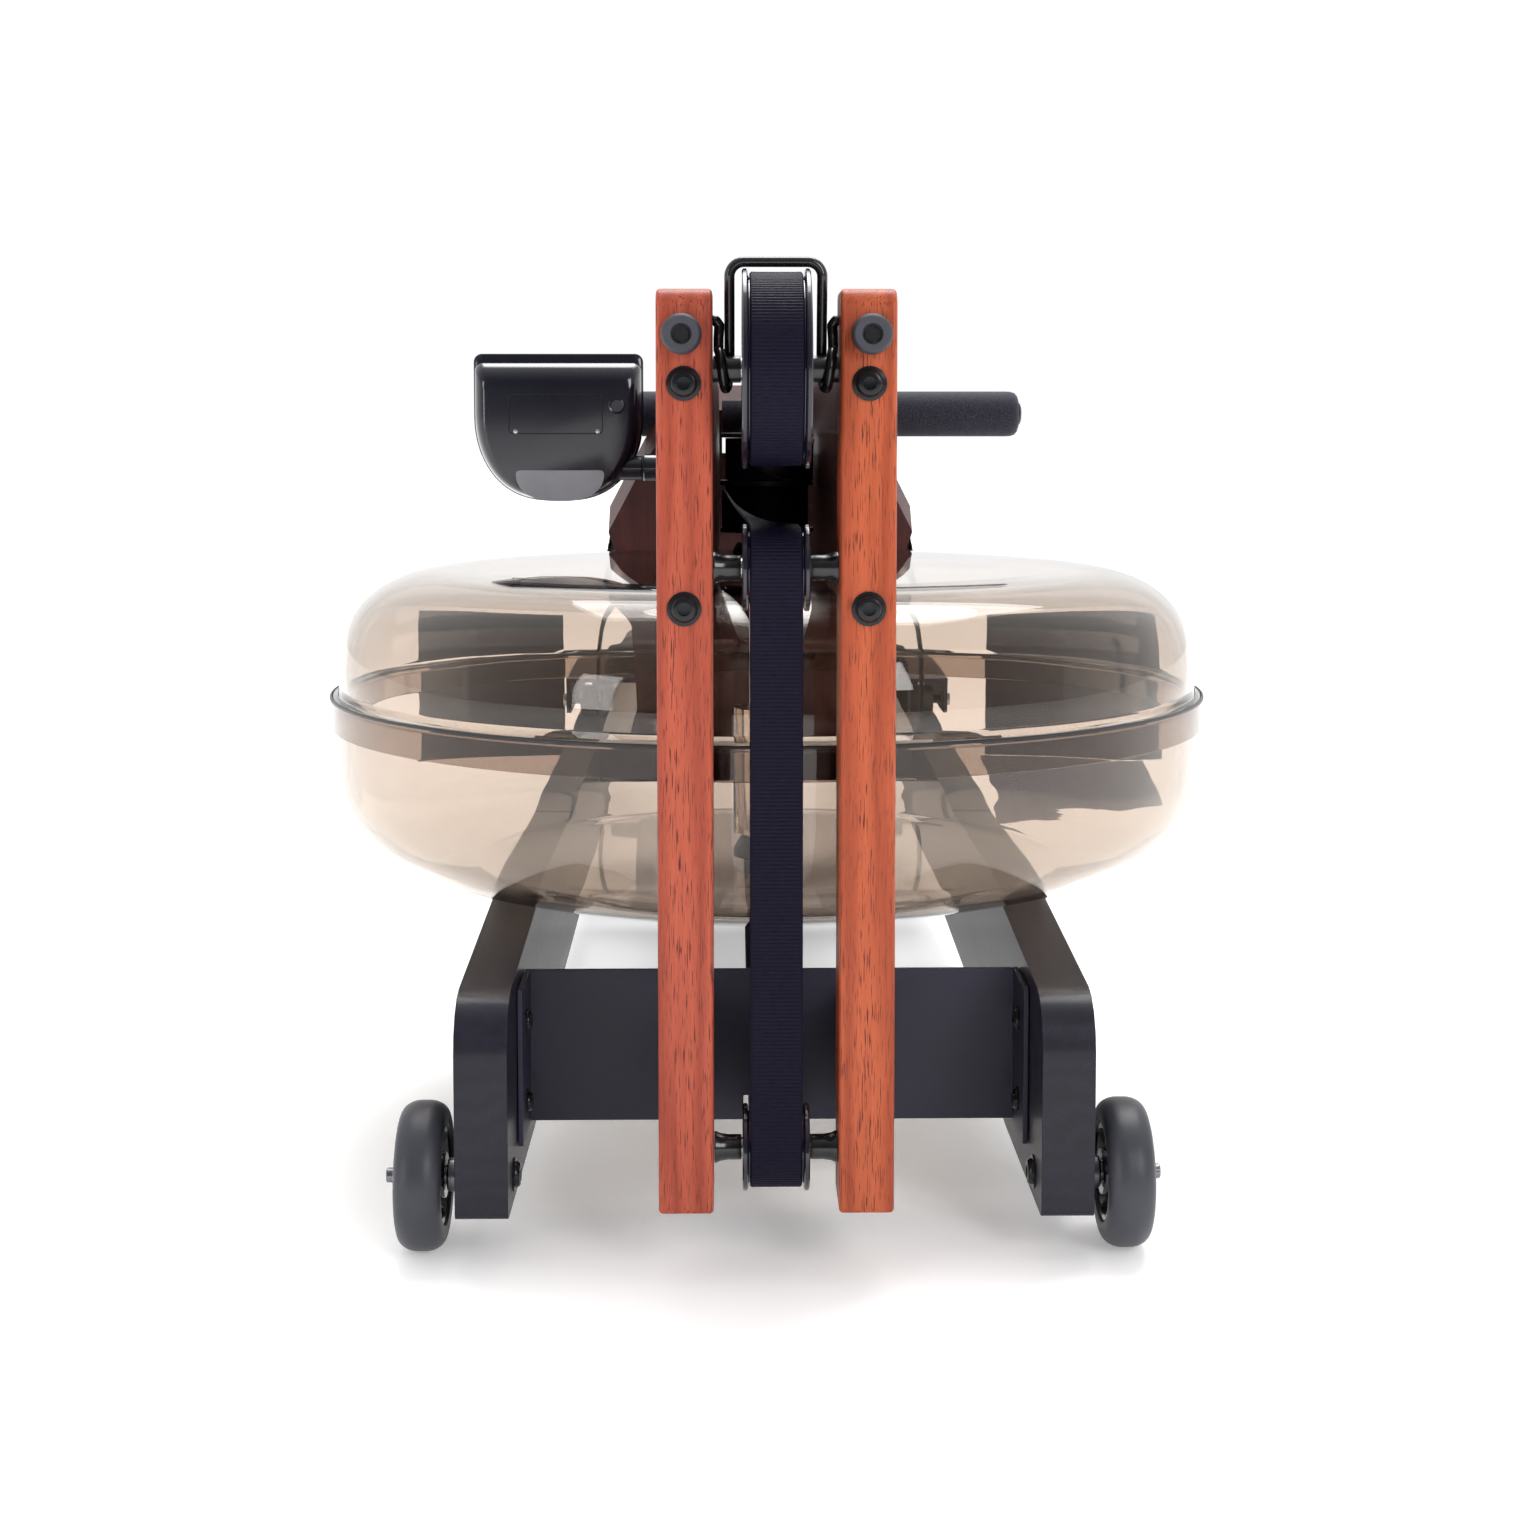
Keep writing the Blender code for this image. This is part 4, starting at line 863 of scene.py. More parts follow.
def twist_stations(sign, drum_z, pulley_z, steps=24):
    """The run from the drum's side to a pulley, turning the strap from upright to flat."""
    drum = middle("strap_drum")
    pulley = middle("top_pulley")
    start = Vector((sign * (DRUM_RADIUS + STRAP_OFFSET), drum.y, drum_z))
    end = Vector((0, pulley.y, pulley_z))
    stations = []
    for step in range(steps):
        part = step / steps
        twist = min(max((part - 0.09) / 0.81, 0), 1)
        ease = twist * twist * (3 - 2 * twist)
        turn = math.radians(90) * ease
        across = Vector((math.sin(turn), 0, sign * math.cos(turn)))
        through = Vector((math.cos(turn), 0, -sign * math.sin(turn)))
        centre = start.lerp(end, part)
        centre.x = start.x * (1 - ease)
        stations.append((centre, across, through))
    return stations


def wrap_stations(node, radius, first, last, steps):
    """Round a pulley: angles in degrees run from its underside (0) by its front (90) to its top."""
    stations = []
    for step in range(steps + 1):
        angle = math.radians(first + (last - first) * step / steps)
        outward = Vector((0, -math.sin(angle), -math.cos(angle)))
        stations.append((middle(node) + outward * radius, X_AXIS, outward))
    return stations


def add_straps():
    """Each strap: a fixed front from the drum round its pulleys, then a straight run."""
    top_radius = TOP_CORE + STRAP_OFFSET
    recoil_radius = RECOIL_CORE + STRAP_OFFSET
    top = middle("top_pulley")
    handle = middle("handle_grip")
    run = handle.y - top.y
    drop = top.z - handle.z
    lean = math.atan2(drop, run) + math.asin(top_radius / math.hypot(run, drop))
    leave = 180 + math.degrees(lean)
    row = twist_stations(1, ROW_STRAP_Z, top.z - top_radius)
    row += wrap_stations("top_pulley", top_radius, 0, leave, 60)
    strap("row_strap", resampled(row, RIB_PITCH), STRAP_WIDTH, STRAP_THICKNESS, "webbing", "frame",
          ("row_strap_front",), RIB_DEPTH)
    away = (handle - row[-1][0]).normalized()
    stretched_run("row_strap_run", row[-1], handle - away * 0.0165, "row_strap_rear")
    upper = middle("upper_recoil_pulley")
    recoil = twist_stations(-1, RECOIL_STRAP_Z, upper.z + recoil_radius)
    recoil += wrap_stations("upper_recoil_pulley", recoil_radius, 180, 90, 24)
    recoil += wrap_stations("lower_recoil_pulley", recoil_radius, 90, 0, 24)
    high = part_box("recoil_strap_rear")[1]
    end = Vector((0, high.y, high.z - STRAP_THICKNESS / 2))
    strap("recoil_strap", resampled(recoil, RIB_PITCH), STRAP_WIDTH, STRAP_THICKNESS, "webbing",
          "frame", ("recoil_strap_front",), RIB_DEPTH)
    stretched_run("recoil_strap_run", recoil[-1], end, "recoil_strap_rear")


def stretched_run(name, leaving, end, node):
    """The straight run from where a strap leaves its pulley to the body that pulls it."""
    start, across, through = leaving
    run = resampled([(start, across, through), (end, across, through)], RIB_PITCH)
    piece = strap(name, run, STRAP_WIDTH, STRAP_THICKNESS, "webbing", None, (node,), RIB_DEPTH)
    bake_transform(piece)


def add_guard():
    """The wire bail: tails on the risers, a coil round the axle, legs and a square top."""
    origin = middle("top_pulley")
    leg_x = 0.0238
    tail_x = 0.0294
    coil = 0.0098
    height = 0.5304 - origin.z
    bend = 0.0075
    half = [Vector((0.0322, 0.0030, 0.0250)), Vector((0.0310, 0.0032, 0.0252)),
            Vector((0.0290, 0.0036, 0.0225)), Vector((tail_x, 0.0036, 0.0160))]
    for step in range(37):
        part = step / 36
        angle = 2 * math.pi * (1 - 0.75 * part)
        half.append(Vector((tail_x + (leg_x - tail_x) * part, coil * math.sin(angle),
                            coil * math.cos(angle))))
    half.append(Vector((leg_x, coil * 0.6, height * 0.45)))
    half.append(Vector((leg_x, 0, height - bend)))
    for step in range(1, 9):
        angle = math.radians(90) * step / 8
        half.append(Vector((leg_x - bend * (1 - math.cos(angle)), 0,
                            height - bend * (1 - math.sin(angle)))))
    mirrored = [Vector((-point.x, point.y, point.z)) for point in half]
    points = [origin + point for point in half + mirrored[::-1]]
    tube("strap_guard_piece", points, 0.0027, "wire", "strap_guard", ("strap_guard",))


# ---------------------------------------------------------------- wheels, clip and bungee


def add_wheels():
    """Transport wheels: a rounded tyre on a dished hub."""
    for side, sign in SIDES:
        node = f"{side}_wheel"
        centre = middle(node)
        low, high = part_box(node)
        radius = (high.z - low.z) / 2
        half = (high.x - low.x) / 2
        shoulder = 0.0105
        tyre = [(0.0262, half - 0.0022), (0.0272, half - 0.0004), (0.0290, half)]
        for step in range(11):
            angle = math.radians(9 * step)
            tyre.append((radius - shoulder * 0.72 * (1 - math.sin(angle)),
                         half - shoulder * (1 - math.cos(angle))))
        lathe(f"{node}_tyre", both_ways(tyre), "X", centre, "rubber", node, (node,), 96)
        hub = [
            (0.0053, half - 0.0005), (0.0120, half - 0.0005), (0.0125, half - 0.0012),
            (0.0130, half - 0.0060), (0.0225, half - 0.0060), (0.0232, half - 0.0022),
            (0.0240, half - 0.0014), (0.0258, half - 0.0014), (0.0261, half - 0.0022),
        ]
        lathe(f"{node}_hub", both_ways(hub), "X", centre, "gloss", node, steps=96)
        add_wheel_axle(side, sign, centre)


def add_wheel_axle(side, sign, centre):
    """A bolt through the wheel, with a spacer inside it and a nut outside."""
    low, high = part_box(f"{side}_wheel_axle")
    inner, outer = sorted((abs(low.x), abs(high.x)))
    profile = [
        (0, inner), (0.0090, inner), (0.0090, inner + 0.0058), (0.0082, inner + 0.0068),
        (0.0050, inner + 0.0068), (0.0050, outer - 0.0077), (0.0084, outer - 0.0077),
        (0.0085, outer - 0.0052), (0.0076, outer - 0.0042), (0.0040, outer - 0.0042),
        (0.0040, outer - 0.0006), (0.0034, outer), (0, outer),
    ]
    lathe(f"{side}_wheel_axle_piece", facing(profile, sign), "X", (0, centre.y, centre.z),
          "dark_steel", "frame", (f"{side}_wheel_axle",), 48)


def bungee_run():
    """Where the recoil run under the seat starts, and its direction to the bungee's pulley."""
    low = middle("lower_recoil_pulley")
    wheel = middle("bungee_pulley")
    start = Vector((0, low.y, low.z - RECOIL_CORE - STRAP_OFFSET))
    end = Vector((0, wheel.y, wheel.z - 0.020))
    return start, (end - start).normalized()


def add_recoil_clip():
    """The clip that joins the recoil strap and the bungee, with its two screws."""
    refined("recoil_clip", "plastic", "recoil_clip", 0.0016, 3)
    _, run = bungee_run()
    place = middle("recoil_clip")
    up = X_AXIS.cross(run)
    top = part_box("recoil_clip")[1].z - place.z
    for number, x in enumerate((-0.009, 0.009), 1):
        profile = [(0, 0), (0.0034, 0), (0.0030, 0.0007), (0.0014, 0.0008), (0.0012, 0.0002),
                   (0, 0.0002)]
        height = place + up * (top - 0.0022) + X_AXIS * x
        lathe(f"clip_screw_{number}", profile, "Z", height, "steel", "recoil_clip", steps=32)


def add_bungee():
    """The bungee's two runs and the grooved pulley that turns it back."""
    start, run = bungee_run()
    clip = start + run * ((middle("recoil_clip").y - start.y) / run.y)
    wheel = middle("bungee_pulley")
    radius = 0.020
    leave = clip + run * 0.021
    points = [leave.lerp(wheel - Z_AXIS * radius, step / 40) for step in range(41)]
    lower = tube("bungee_lower_piece", points, 0.0040, "cord", None, ("bungee_lower",),
                 smooth=False)
    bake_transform(lower)
    points = []
    for step in range(25):
        angle = math.radians(-90 + 180 * step / 24)
        points.append(wheel + Vector((0, math.cos(angle) * radius, math.sin(angle) * radius)))
    points.append(Vector((0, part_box("bungee_upper")[0].y, points[-1].z)))
    tube("bungee_upper_piece", points, 0.0040, "cord", "frame", ("bungee_upper",), smooth=False)
    lower_half = [
        (0.0043, -0.008), (0.0205, -0.008), (0.0210, -0.0075), (0.0210, -0.0062),
        (0.0205, -0.0056), (0.0178, -0.0045), (0.0163, -0.0025),
    ]
    upper_half = facing(lower_half[::-1], -1)
    lathe("bungee_pulley_piece", lower_half + [(0.0160, 0)] + upper_half, "X", wheel, "gloss",
          "bungee_pulley", ("bungee_pulley",))


# ---------------------------------------------------------------- handle


def add_handle():
    """Foam grip with rounded ends, a waist for the strap, and the strap's loop round it."""
    centre = middle("handle_grip")
    low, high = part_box("handle_grip")
    half = (high.x - low.x) / 2
    radius = (high.z - low.z) / 2
    core = 0.0108
    waist = 0.0135
    throat = 0.0146
    half_outline = [
        (core, half - 0.0010), (core + 0.0010, half), (radius - 0.0065, half),
        (radius - 0.0035, half - 0.0008), (radius - 0.0012, half - 0.0028),
        (radius - 0.0002, half - 0.0060), (radius, half - 0.0100),
        (radius, throat + 0.0032), (radius - 0.0006, throat + 0.0012),
        (radius - 0.0018, throat), (waist + 0.0006, throat), (waist, throat - 0.0006),
    ]
    lathe("handle_grip_piece", both_ways(half_outline), "X", centre, "foam", "handle",
          ("handle_grip",), 96)
    low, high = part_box("handle_core")
    reach = (high.x - low.x) / 2
    profile = [
        (0, -reach), (0.0062, -reach), (0.0084, -reach + 0.0010), (0.0092, -reach + 0.0025),
        (0.0105, -reach + 0.0027), (0.0105, reach - 0.0027), (0.0092, reach - 0.0025),
        (0.0084, reach - 0.0010), (0.0062, reach), (0, reach),
    ]
    lathe("handle_core_piece", profile, "X", centre, "plastic", "handle", ("handle_core",), 64,
          slot="steel")
    ring = waist + 0.0011
    stations = []
    for step in range(73):
        angle = math.radians(-50 + 280 * step / 72)
        outward = Vector((0, math.cos(angle), math.sin(angle)))
        stations.append((centre + outward * ring, X_AXIS, outward))
    strap("handle_strap_loop", resampled(stations, RIB_PITCH), STRAP_WIDTH, 0.0017, "webbing",
          "handle", (), RIB_DEPTH)


# ---------------------------------------------------------------- monitor


def monitor_outline(side=0.0, top=0.0, bottom=0.0, steps=72):
    """The case's outline, pulled in by amounts at its sides, top and bottom."""
    low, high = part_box("monitor_case")
    centre = (low.x + high.x) / 2
    half = (high.x - low.x) / 2 - side
    top = high.z - top
    waist = low.z + 0.0650
    depth = waist - low.z - bottom
    corner = 0.0065
    outline = []
    for step in range(9):
        angle = math.radians(90 * step / 8)
        outline.append((centre - half + corner * (1 - math.sin(angle)),
                        top - corner * (1 - math.cos(angle))))
    outline += bowl(centre, waist, half, depth, steps)
    for step in range(9):
        angle = math.radians(90 * step / 8)
        outline.append((centre + half - corner * (1 - math.cos(angle)),
                        top - corner * (1 - math.sin(angle))))
    return outline


def bowl(centre, level, half, depth, steps):
    """The lower half of a squarish oval, from its left end to its right end."""
    outline = []
    for step in range(steps + 1):
        angle = math.pi * (1 + step / steps)
        across = math.copysign(abs(math.cos(angle)) ** 0.75, math.cos(angle))
        outline.append((centre + half * across, level + depth * math.sin(angle)))
    return outline


def lofted(rings):
    """A closed mesh through rings of (x, y, z) points, one list per ring."""
    bm = bmesh.new()
    rows = [[bm.verts.new(point) for point in ring] for ring in rings]
    count = len(rows[0])
    for first, second in zip(rows, rows[1:]):
        for index in range(count):
            after = (index + 1) % count
            bm.faces.new((first[index], first[after], second[after], second[index]))
    bm.faces.new(rows[0])
    bm.faces.new(rows[-1])
    return bm


def monitor_ring(y, side, top, bottom):
    return [(x, y, z) for x, z in monitor_outline(side, top, bottom)]


def add_monitor():
    """A back housing with a rounded back, a lip round its open side, and the front bezel."""
    low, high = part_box("monitor_case")
    centre = (low.x + high.x) / 2
    back = low.y + 0.0006
    lip = high.y - 0.0095
    rings = [monitor_ring(high.y, 0, 0, 0), monitor_ring(lip + 0.0006, 0, 0, 0),
             monitor_ring(lip, 0.0006, 0.0006, 0.0006),
             monitor_ring(lip - 0.0008, 0.0012, 0.0062, 0.0010)]
    steps = 10
    for step in range(steps + 1):
        angle = math.radians(90 * step / steps)
        pull = 1 - math.cos(angle)
        rings.append(monitor_ring(lip - 0.0008 - (lip - 0.0008 - back) * math.sin(angle),
                                  0.0012 + 0.0100 * pull, 0.0062 + 0.0190 * pull,
                                  0.0010 + 0.0045 * pull))
    add_piece("monitor_case_piece", lofted(rings), "gloss", "monitor", ("monitor_case",))
    low_bezel, high_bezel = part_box("monitor_bezel")
    face = high_bezel.y
    rings = [monitor_ring(low_bezel.y, 0.002, 0.002, 0.002)]
    for step in range(6):
        angle = math.radians(18 * step)
        pull = 0.002 + 0.003 * (1 - math.cos(angle))
        rings.append(monitor_ring(face - 0.003 * (1 - math.sin(angle)), pull, pull, pull))
    add_piece("monitor_bezel_piece", lofted(rings), "plastic", "monitor", ("monitor_bezel",))
    add_monitor_back(centre, back)
    add_monitor_face(centre, face)
    add_monitor_buttons()
    arm_low, arm_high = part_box("monitor_arm")
    place = middle("monitor_arm")
    profile = [
        (0, arm_high.x), (0.0140, arm_high.x), (0.0140, arm_high.x - 0.0032),
        (0.0132, arm_high.x - 0.0040), (0.0108, arm_high.x - 0.0044),
        (0.0105, arm_high.x - 0.0060), (0.0105, arm_low.x + 0.0008), (0.0098, arm_low.x),
        (0, arm_low.x),
    ]
    lathe("monitor_arm_piece", profile, "X", (0, place.y, place.z), "gloss", "frame",
          ("monitor_arm",), 64)
    hinge = [(0, high.x - 0.0003), (0.0085, high.x - 0.0003), (0.0094, high.x - 0.0012),
             (0.0094, high.x - 0.0180), (0, high.x - 0.0180)]
    lathe("monitor_hinge", hinge, "X", (0, place.y, place.z), "gloss", "monitor", steps=48)


def ridge(outline, at, width, depth):
    """A thin raised line round a closed (x, z) outline, on a face that lies across Y."""
    bm = bmesh.new()
    count = len(outline)
    corners = [Vector(point) for point in outline]
    rings = []
    for index, corner in enumerate(corners):
        run = (corners[(index + 1) % count] - corners[index - 1]).normalized()
        normal = Vector((run.y, -run.x))
        section = []
        for offset, height in ((-width, 0), (-width / 2, depth), (width / 2, depth), (width, 0)):
            place = corner + normal * offset
            section.append(bm.verts.new((place.x, at + height, place.y)))
        rings.append(section)
    for index in range(count):
        here, after = rings[index], rings[(index + 1) % count]
        for step in range(4):
            bm.faces.new((here[step], here[(step + 1) % 4], after[(step + 1) % 4], after[step]))
    return bm


def add_monitor_back(centre, back):
    """Battery door, two small screws, a round port and a plain silver badge."""
    door = rounded([(centre - 0.0365, 0.4405, 0.003), (centre + 0.0345, 0.4405, 0.003),
                    (centre + 0.0345, 0.4700, 0.003), (centre - 0.0365, 0.4700, 0.003)])
    add_piece("monitor_door_line", ridge(door, back, 0.0004, -0.0004), "plastic", "monitor")
    for number, x in enumerate((-0.0315, 0.0310), 1):
        profile = [(0, 0), (0.0019, 0), (0.0017, -0.0006), (0.0006, -0.0007), (0.0005, -0.0003),
                   (0, -0.0003)]
        lathe(f"monitor_screw_{number}", profile, "Y", (centre + x, back, 0.4422), "steel",
              "monitor", steps=32)
    port = (centre + 0.0455, back, 0.4615)
    rim = [(0.0046, 0.0002), (0.0046, -0.0006), (0.0054, -0.0008), (0.0061, -0.0005),
           (0.0064, 0.0002)]
    lathe("monitor_port_rim", rim, "Y", port, "gloss", "monitor", steps=48)
    hole = [(0, 0.0001), (0.0046, 0.0001), (0.0046, -0.0001), (0, -0.0001)]
    lathe("monitor_port", hole, "Y", port, "rubber", "monitor", steps=48, slot="black_plastic")
    top = 0.4125
    badge = [(centre + 0.0355, top - 0.0020), (centre + 0.0345, top - 0.0005),
             (centre + 0.0325, top), (centre - 0.0285, top), (centre - 0.0305, top - 0.0005),
             (centre - 0.0315, top - 0.0020)]
    badge += bowl(centre + 0.002, top - 0.0040, 0.0335, 0.0195, 32)
    add_piece("monitor_badge", slab(badge, "Y", back - 0.0004, back + 0.0012), "label", "monitor")


def add_monitor_face(centre, face):
    """The screen's frame, its glass, and plain segment bars for a blank readout."""
    window = rounded([(centre - 0.050, 0.432, 0.005), (centre + 0.050, 0.432, 0.005),
                      (centre + 0.050, 0.484, 0.005), (centre - 0.050, 0.484, 0.005)])
    add_piece("monitor_screen", slab(window, "Y", face - 0.001, face - 0.0003, 0.0002, 2),
              "screen", "monitor")
    add_piece("monitor_screen_rim", ridge(window, face - 0.0008, 0.0013, 0.0008), "gloss",
              "monitor")
    for row, height in enumerate((0.442, 0.458, 0.474)):
        for column in range(5):
            x = centre - 0.036 + 0.018 * column
            bar = block((x - 0.006, face - 0.0005, height - 0.0028),
                        (x + 0.006, face - 0.0001, height + 0.0028), 0.0001)
            add_piece(f"monitor_segment_{row}_{column}", bar, "digit", "monitor")


def add_monitor_buttons():
    """Three round rubber keys under the screen."""
    for number in range(1, 4):
        node = f"monitor_button_{number}"
        low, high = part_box(node)
        place = middle(node)
        radius = (high.x - low.x) / 2
        profile = [
            (0, low.y), (radius, low.y), (radius, high.y - 0.0012),
            (radius - 0.0005, high.y - 0.0004), (radius - 0.0015, high.y),
            (0.0018, high.y - 0.0003), (0, high.y - 0.0004),
        ]
        lathe(f"{node}_piece", profile, "Y", (place.x, 0, place.z), "key_rubber", node, (node,),
              48)


# ---------------------------------------------------------------- footboard fittings

FOOTBOARD_TOP = (0, behind(0.580), 0.4583)
FOOTBOARD_TURN = Matrix.Rotation(-FOOTBOARD_ANGLE, 4, "X")
FOOTBOARD_PLACE = Matrix.Translation(FOOTBOARD_TOP) @ FOOTBOARD_TURN
BOARD = 0.0285
FOOT_X = 0.070
STRAP_DOWN = 0.165
FOOT_RIB_PITCH = 0.0011


def on_footboard(x, down, out):
    """A point on the footboard: down its slope from the top edge, out from its front face."""
    return FOOTBOARD_PLACE @ Vector((x, down, out))


def board_direction(x, down, out):
    return (FOOTBOARD_TURN @ Vector((x, down, out))).normalized()


def add_heel_rests():
    """Moulded rests with ribbed tread and a raised cup."""
    face = BOARD + GAP
    for side, sign in SIDES:
        node = f"{side}_heel_rest"
        profile = rounded([
            (0.215, face, 0.0008), (0.388, face, 0.0008), (0.388, face + 0.046, 0.004),
            (0.380, face + 0.046, 0.004), (0.372, face + 0.010, 0.012),
            (0.215, face + 0.007, 0.004),
        ])
        half = 0.0360
        bm = slab(profile, "X", sign * FOOT_X - half, sign * FOOT_X + half, 0.0018, 4)
        add_piece(f"{node}_piece", placed(bm, FOOTBOARD_PLACE), "plastic", node, (node,))
        for number in range(9):
            down = 0.235 + 0.014 * number
            out = face + 0.0072 + (down - 0.215) * 0.0190
            rib = block((sign * FOOT_X - 0.028, down - 0.0020, out - 0.0006),
                        (sign * FOOT_X + 0.028, down + 0.0020, out + 0.0010), 0.0005)
            add_piece(f"{node}_rib_{number}", placed(rib, FOOTBOARD_PLACE), "rubber", node)


def strap_hoop(sign, half_span, height):
    """Stations of a foot strap, over the foot from one edge of the rest to the other."""
    face = BOARD + GAP
    stations = []
    across = board_direction(0, 1, 0)
    points = []
    for step in range(61):
        angle = math.pi * step / 60
        x = sign * FOOT_X - half_span * math.cos(angle)
        points.append(on_footboard(x, STRAP_DOWN, face + height * math.sin(angle) ** 0.7))
    for index, point in enumerate(points):
        before, after = points[max(index - 1, 0)], points[min(index + 1, 60)]
        run = (after - before).normalized()
        stations.append((point, across, run.cross(across)))
    return stations


def add_foot_straps():
    """Hoops of ribbed webbing with ladder buckles, and ends that hang down outside the board."""
    for side, sign in SIDES:
        hoop = resampled(strap_hoop(sign, 0.0438, 0.0610), FOOT_RIB_PITCH)
        strap(f"{side}_foot_strap_piece", hoop, 0.0375, 0.0026, "foot_webbing", "frame",
              (f"{side}_foot_strap",), 0.00025)
        add_buckle(side, sign)
        add_hanging_end(side, sign)


def add_buckle(side, sign):
    """A ladder buckle on the hoop's outer shoulder."""
    place = on_footboard(sign * (FOOT_X + 0.030), STRAP_DOWN, BOARD + 0.0530)
    lean = Matrix.Rotation(sign * math.radians(38), 4, "Y")
    turn = Matrix.Translation(place) @ FOOTBOARD_TURN @ lean
    outer = rounded([(-0.0110, -0.0225, 0.003), (0.0110, -0.0225, 0.003),
                     (0.0110, 0.0225, 0.003), (-0.0110, 0.0225, 0.003)])
    add_piece(f"{side}_buckle_plate", placed(slab(outer, "Z", 0.0, 0.0024, 0.0006), turn),
              "plastic", "frame")
    for number, x in enumerate((-0.0085, 0.0, 0.0085), 1):
        bar = block((x - 0.0016, -0.0215, 0.0016), (x + 0.0016, 0.0215, 0.0044), 0.0007)
        add_piece(f"{side}_buckle_bar_{number}", placed(bar, turn), "plastic", "frame")


def add_hanging_end(side, sign):
    """The strap's tail: over the board's edge, then down the outside with a gentle curl."""
    route = [
        (sign * (FOOT_X + 0.0450), BOARD + 0.0022), (sign * 0.1165, BOARD + 0.0024),
        (sign * 0.1205, BOARD - 0.0010), (sign * 0.1215, BOARD * 0.6),
    ]
    points = [on_footboard(x, STRAP_DOWN, out) for x, out in route]
    last = points[-1]
    for x, y, drop in ((0.1245, -0.003, 0.018), (0.1290, -0.001, 0.042), (0.1325, 0.003, 0.068),
                       (0.1345, 0.005, 0.096), (0.1340, 0.004, 0.124), (0.1325, 0.001, 0.148)):
        points.append(Vector((sign * x, last.y + y, last.z - drop)))
    fine = curve_through(points, 10)
    slope = board_direction(0, 1, 0)
    stations = []
    for index, point in enumerate(fine):
        run = (fine[min(index + 1, len(fine) - 1)] - fine[max(index - 1, 0)]).normalized()
        part = min(max((index - 25) / 35, 0), 1)
        across = slope.lerp(Y_AXIS, part * part * (3 - 2 * part))
        across = (across - run * across.dot(run)).normalized()
        stations.append((point, across, run.cross(across)))
    strap(f"{side}_foot_strap_end", resampled(stations, FOOT_RIB_PITCH), 0.0250, 0.0022,
          "foot_webbing", "frame", (), 0.00022)


# ---------------------------------------------------------------- seat

SEAT_TURN = Matrix.Rotation(RAIL_TILT, 4, "X")
ROLLER_RISE = 0.0163
PAD_BASE = 0.0423
PAD_TOP = 0.0918
CLOTH_FRAMES = 20
MOST_PUFF = 0.0045


def seat_place():
    """The seat's own frame: origin on the rails' top edges, tilted with them."""
    roller = middle("left_front_seat_roller")
    other = middle("left_rear_seat_roller")
    origin = (roller + other) / 2 - (SEAT_TURN @ Vector((0, 0, ROLLER_RISE)))
    origin.x = 0
    return Matrix.Translation(origin) @ SEAT_TURN


def pad_outline(inset):
    """The pad's plan: wide at the front, with hollows for the thighs at the front edge."""
    return rounded([
        (-0.150 + inset, -0.118 + inset, 0.046), (-0.050, -0.118 + inset, 0.060),
        (0, -0.104 + inset, 0.050), (0.050, -0.118 + inset, 0.060),
        (0.150 - inset, -0.118 + inset, 0.046), (0.138 - inset, 0.118 - inset, 0.066),
        (-0.138 + inset, 0.118 - inset, 0.066),
    ], 8)


def add_seat():
    """The pad on its carriage, with roller nuts and the bolts under it."""
    place = seat_place()
    nut_x = 0.17995
    hexagon = [(0.0064 * math.cos(math.radians(60 * corner)),
                0.0064 * math.sin(math.radians(60 * corner))) for corner in range(6)]
    refined("seat_carriage", "black_metal", "seat", 0.0006, 2)
    add_pad(place)
    for side, sign in SIDES:
        for end, along in (("front", -0.085), ("rear", 0.085)):
            add_roller(side, end)
            nut = Matrix.Translation(place @ Vector((sign * nut_x, along, ROLLER_RISE))) @ SEAT_TURN
            bm = slab(hexagon, "X", *sorted((0, sign * 0.0042)), 0.0005, 2)
            add_piece(f"{side}_{end}_roller_nut", placed(bm, nut), "steel", "seat")
    bolts = ((-0.06, -0.07), (0.06, -0.07), (-0.06, 0.07), (0.06, 0.07))
    for number, (x, y) in enumerate(bolts, 1):
        head = place @ Vector((x, y, 0.0381))
        bolt(f"seat_bolt_{number}", head, "-Z", 0.0060, "seat", "steel", 0.0030)


def add_roller(side, end):
    """A rubber roller with a recessed hub."""
    node = f"{side}_{end}_seat_roller"
    low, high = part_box(node)
    centre = middle(node)
    half = (high.x - low.x) / 2
    radius = 0.016
    section = [
        (0.0043, half), (0.0062, half), (0.0066, half - 0.0006), (0.0068, half - 0.0022),
        (0.0108, half - 0.0022), (0.0112, half - 0.0004), (0.0118, half),
        (radius - 0.0016, half), (radius - 0.0005, half - 0.0005), (radius, half - 0.0018),
    ]
    lathe(f"{node}_piece", both_ways(section), "X", centre, "rubber", node, (node,), 64)


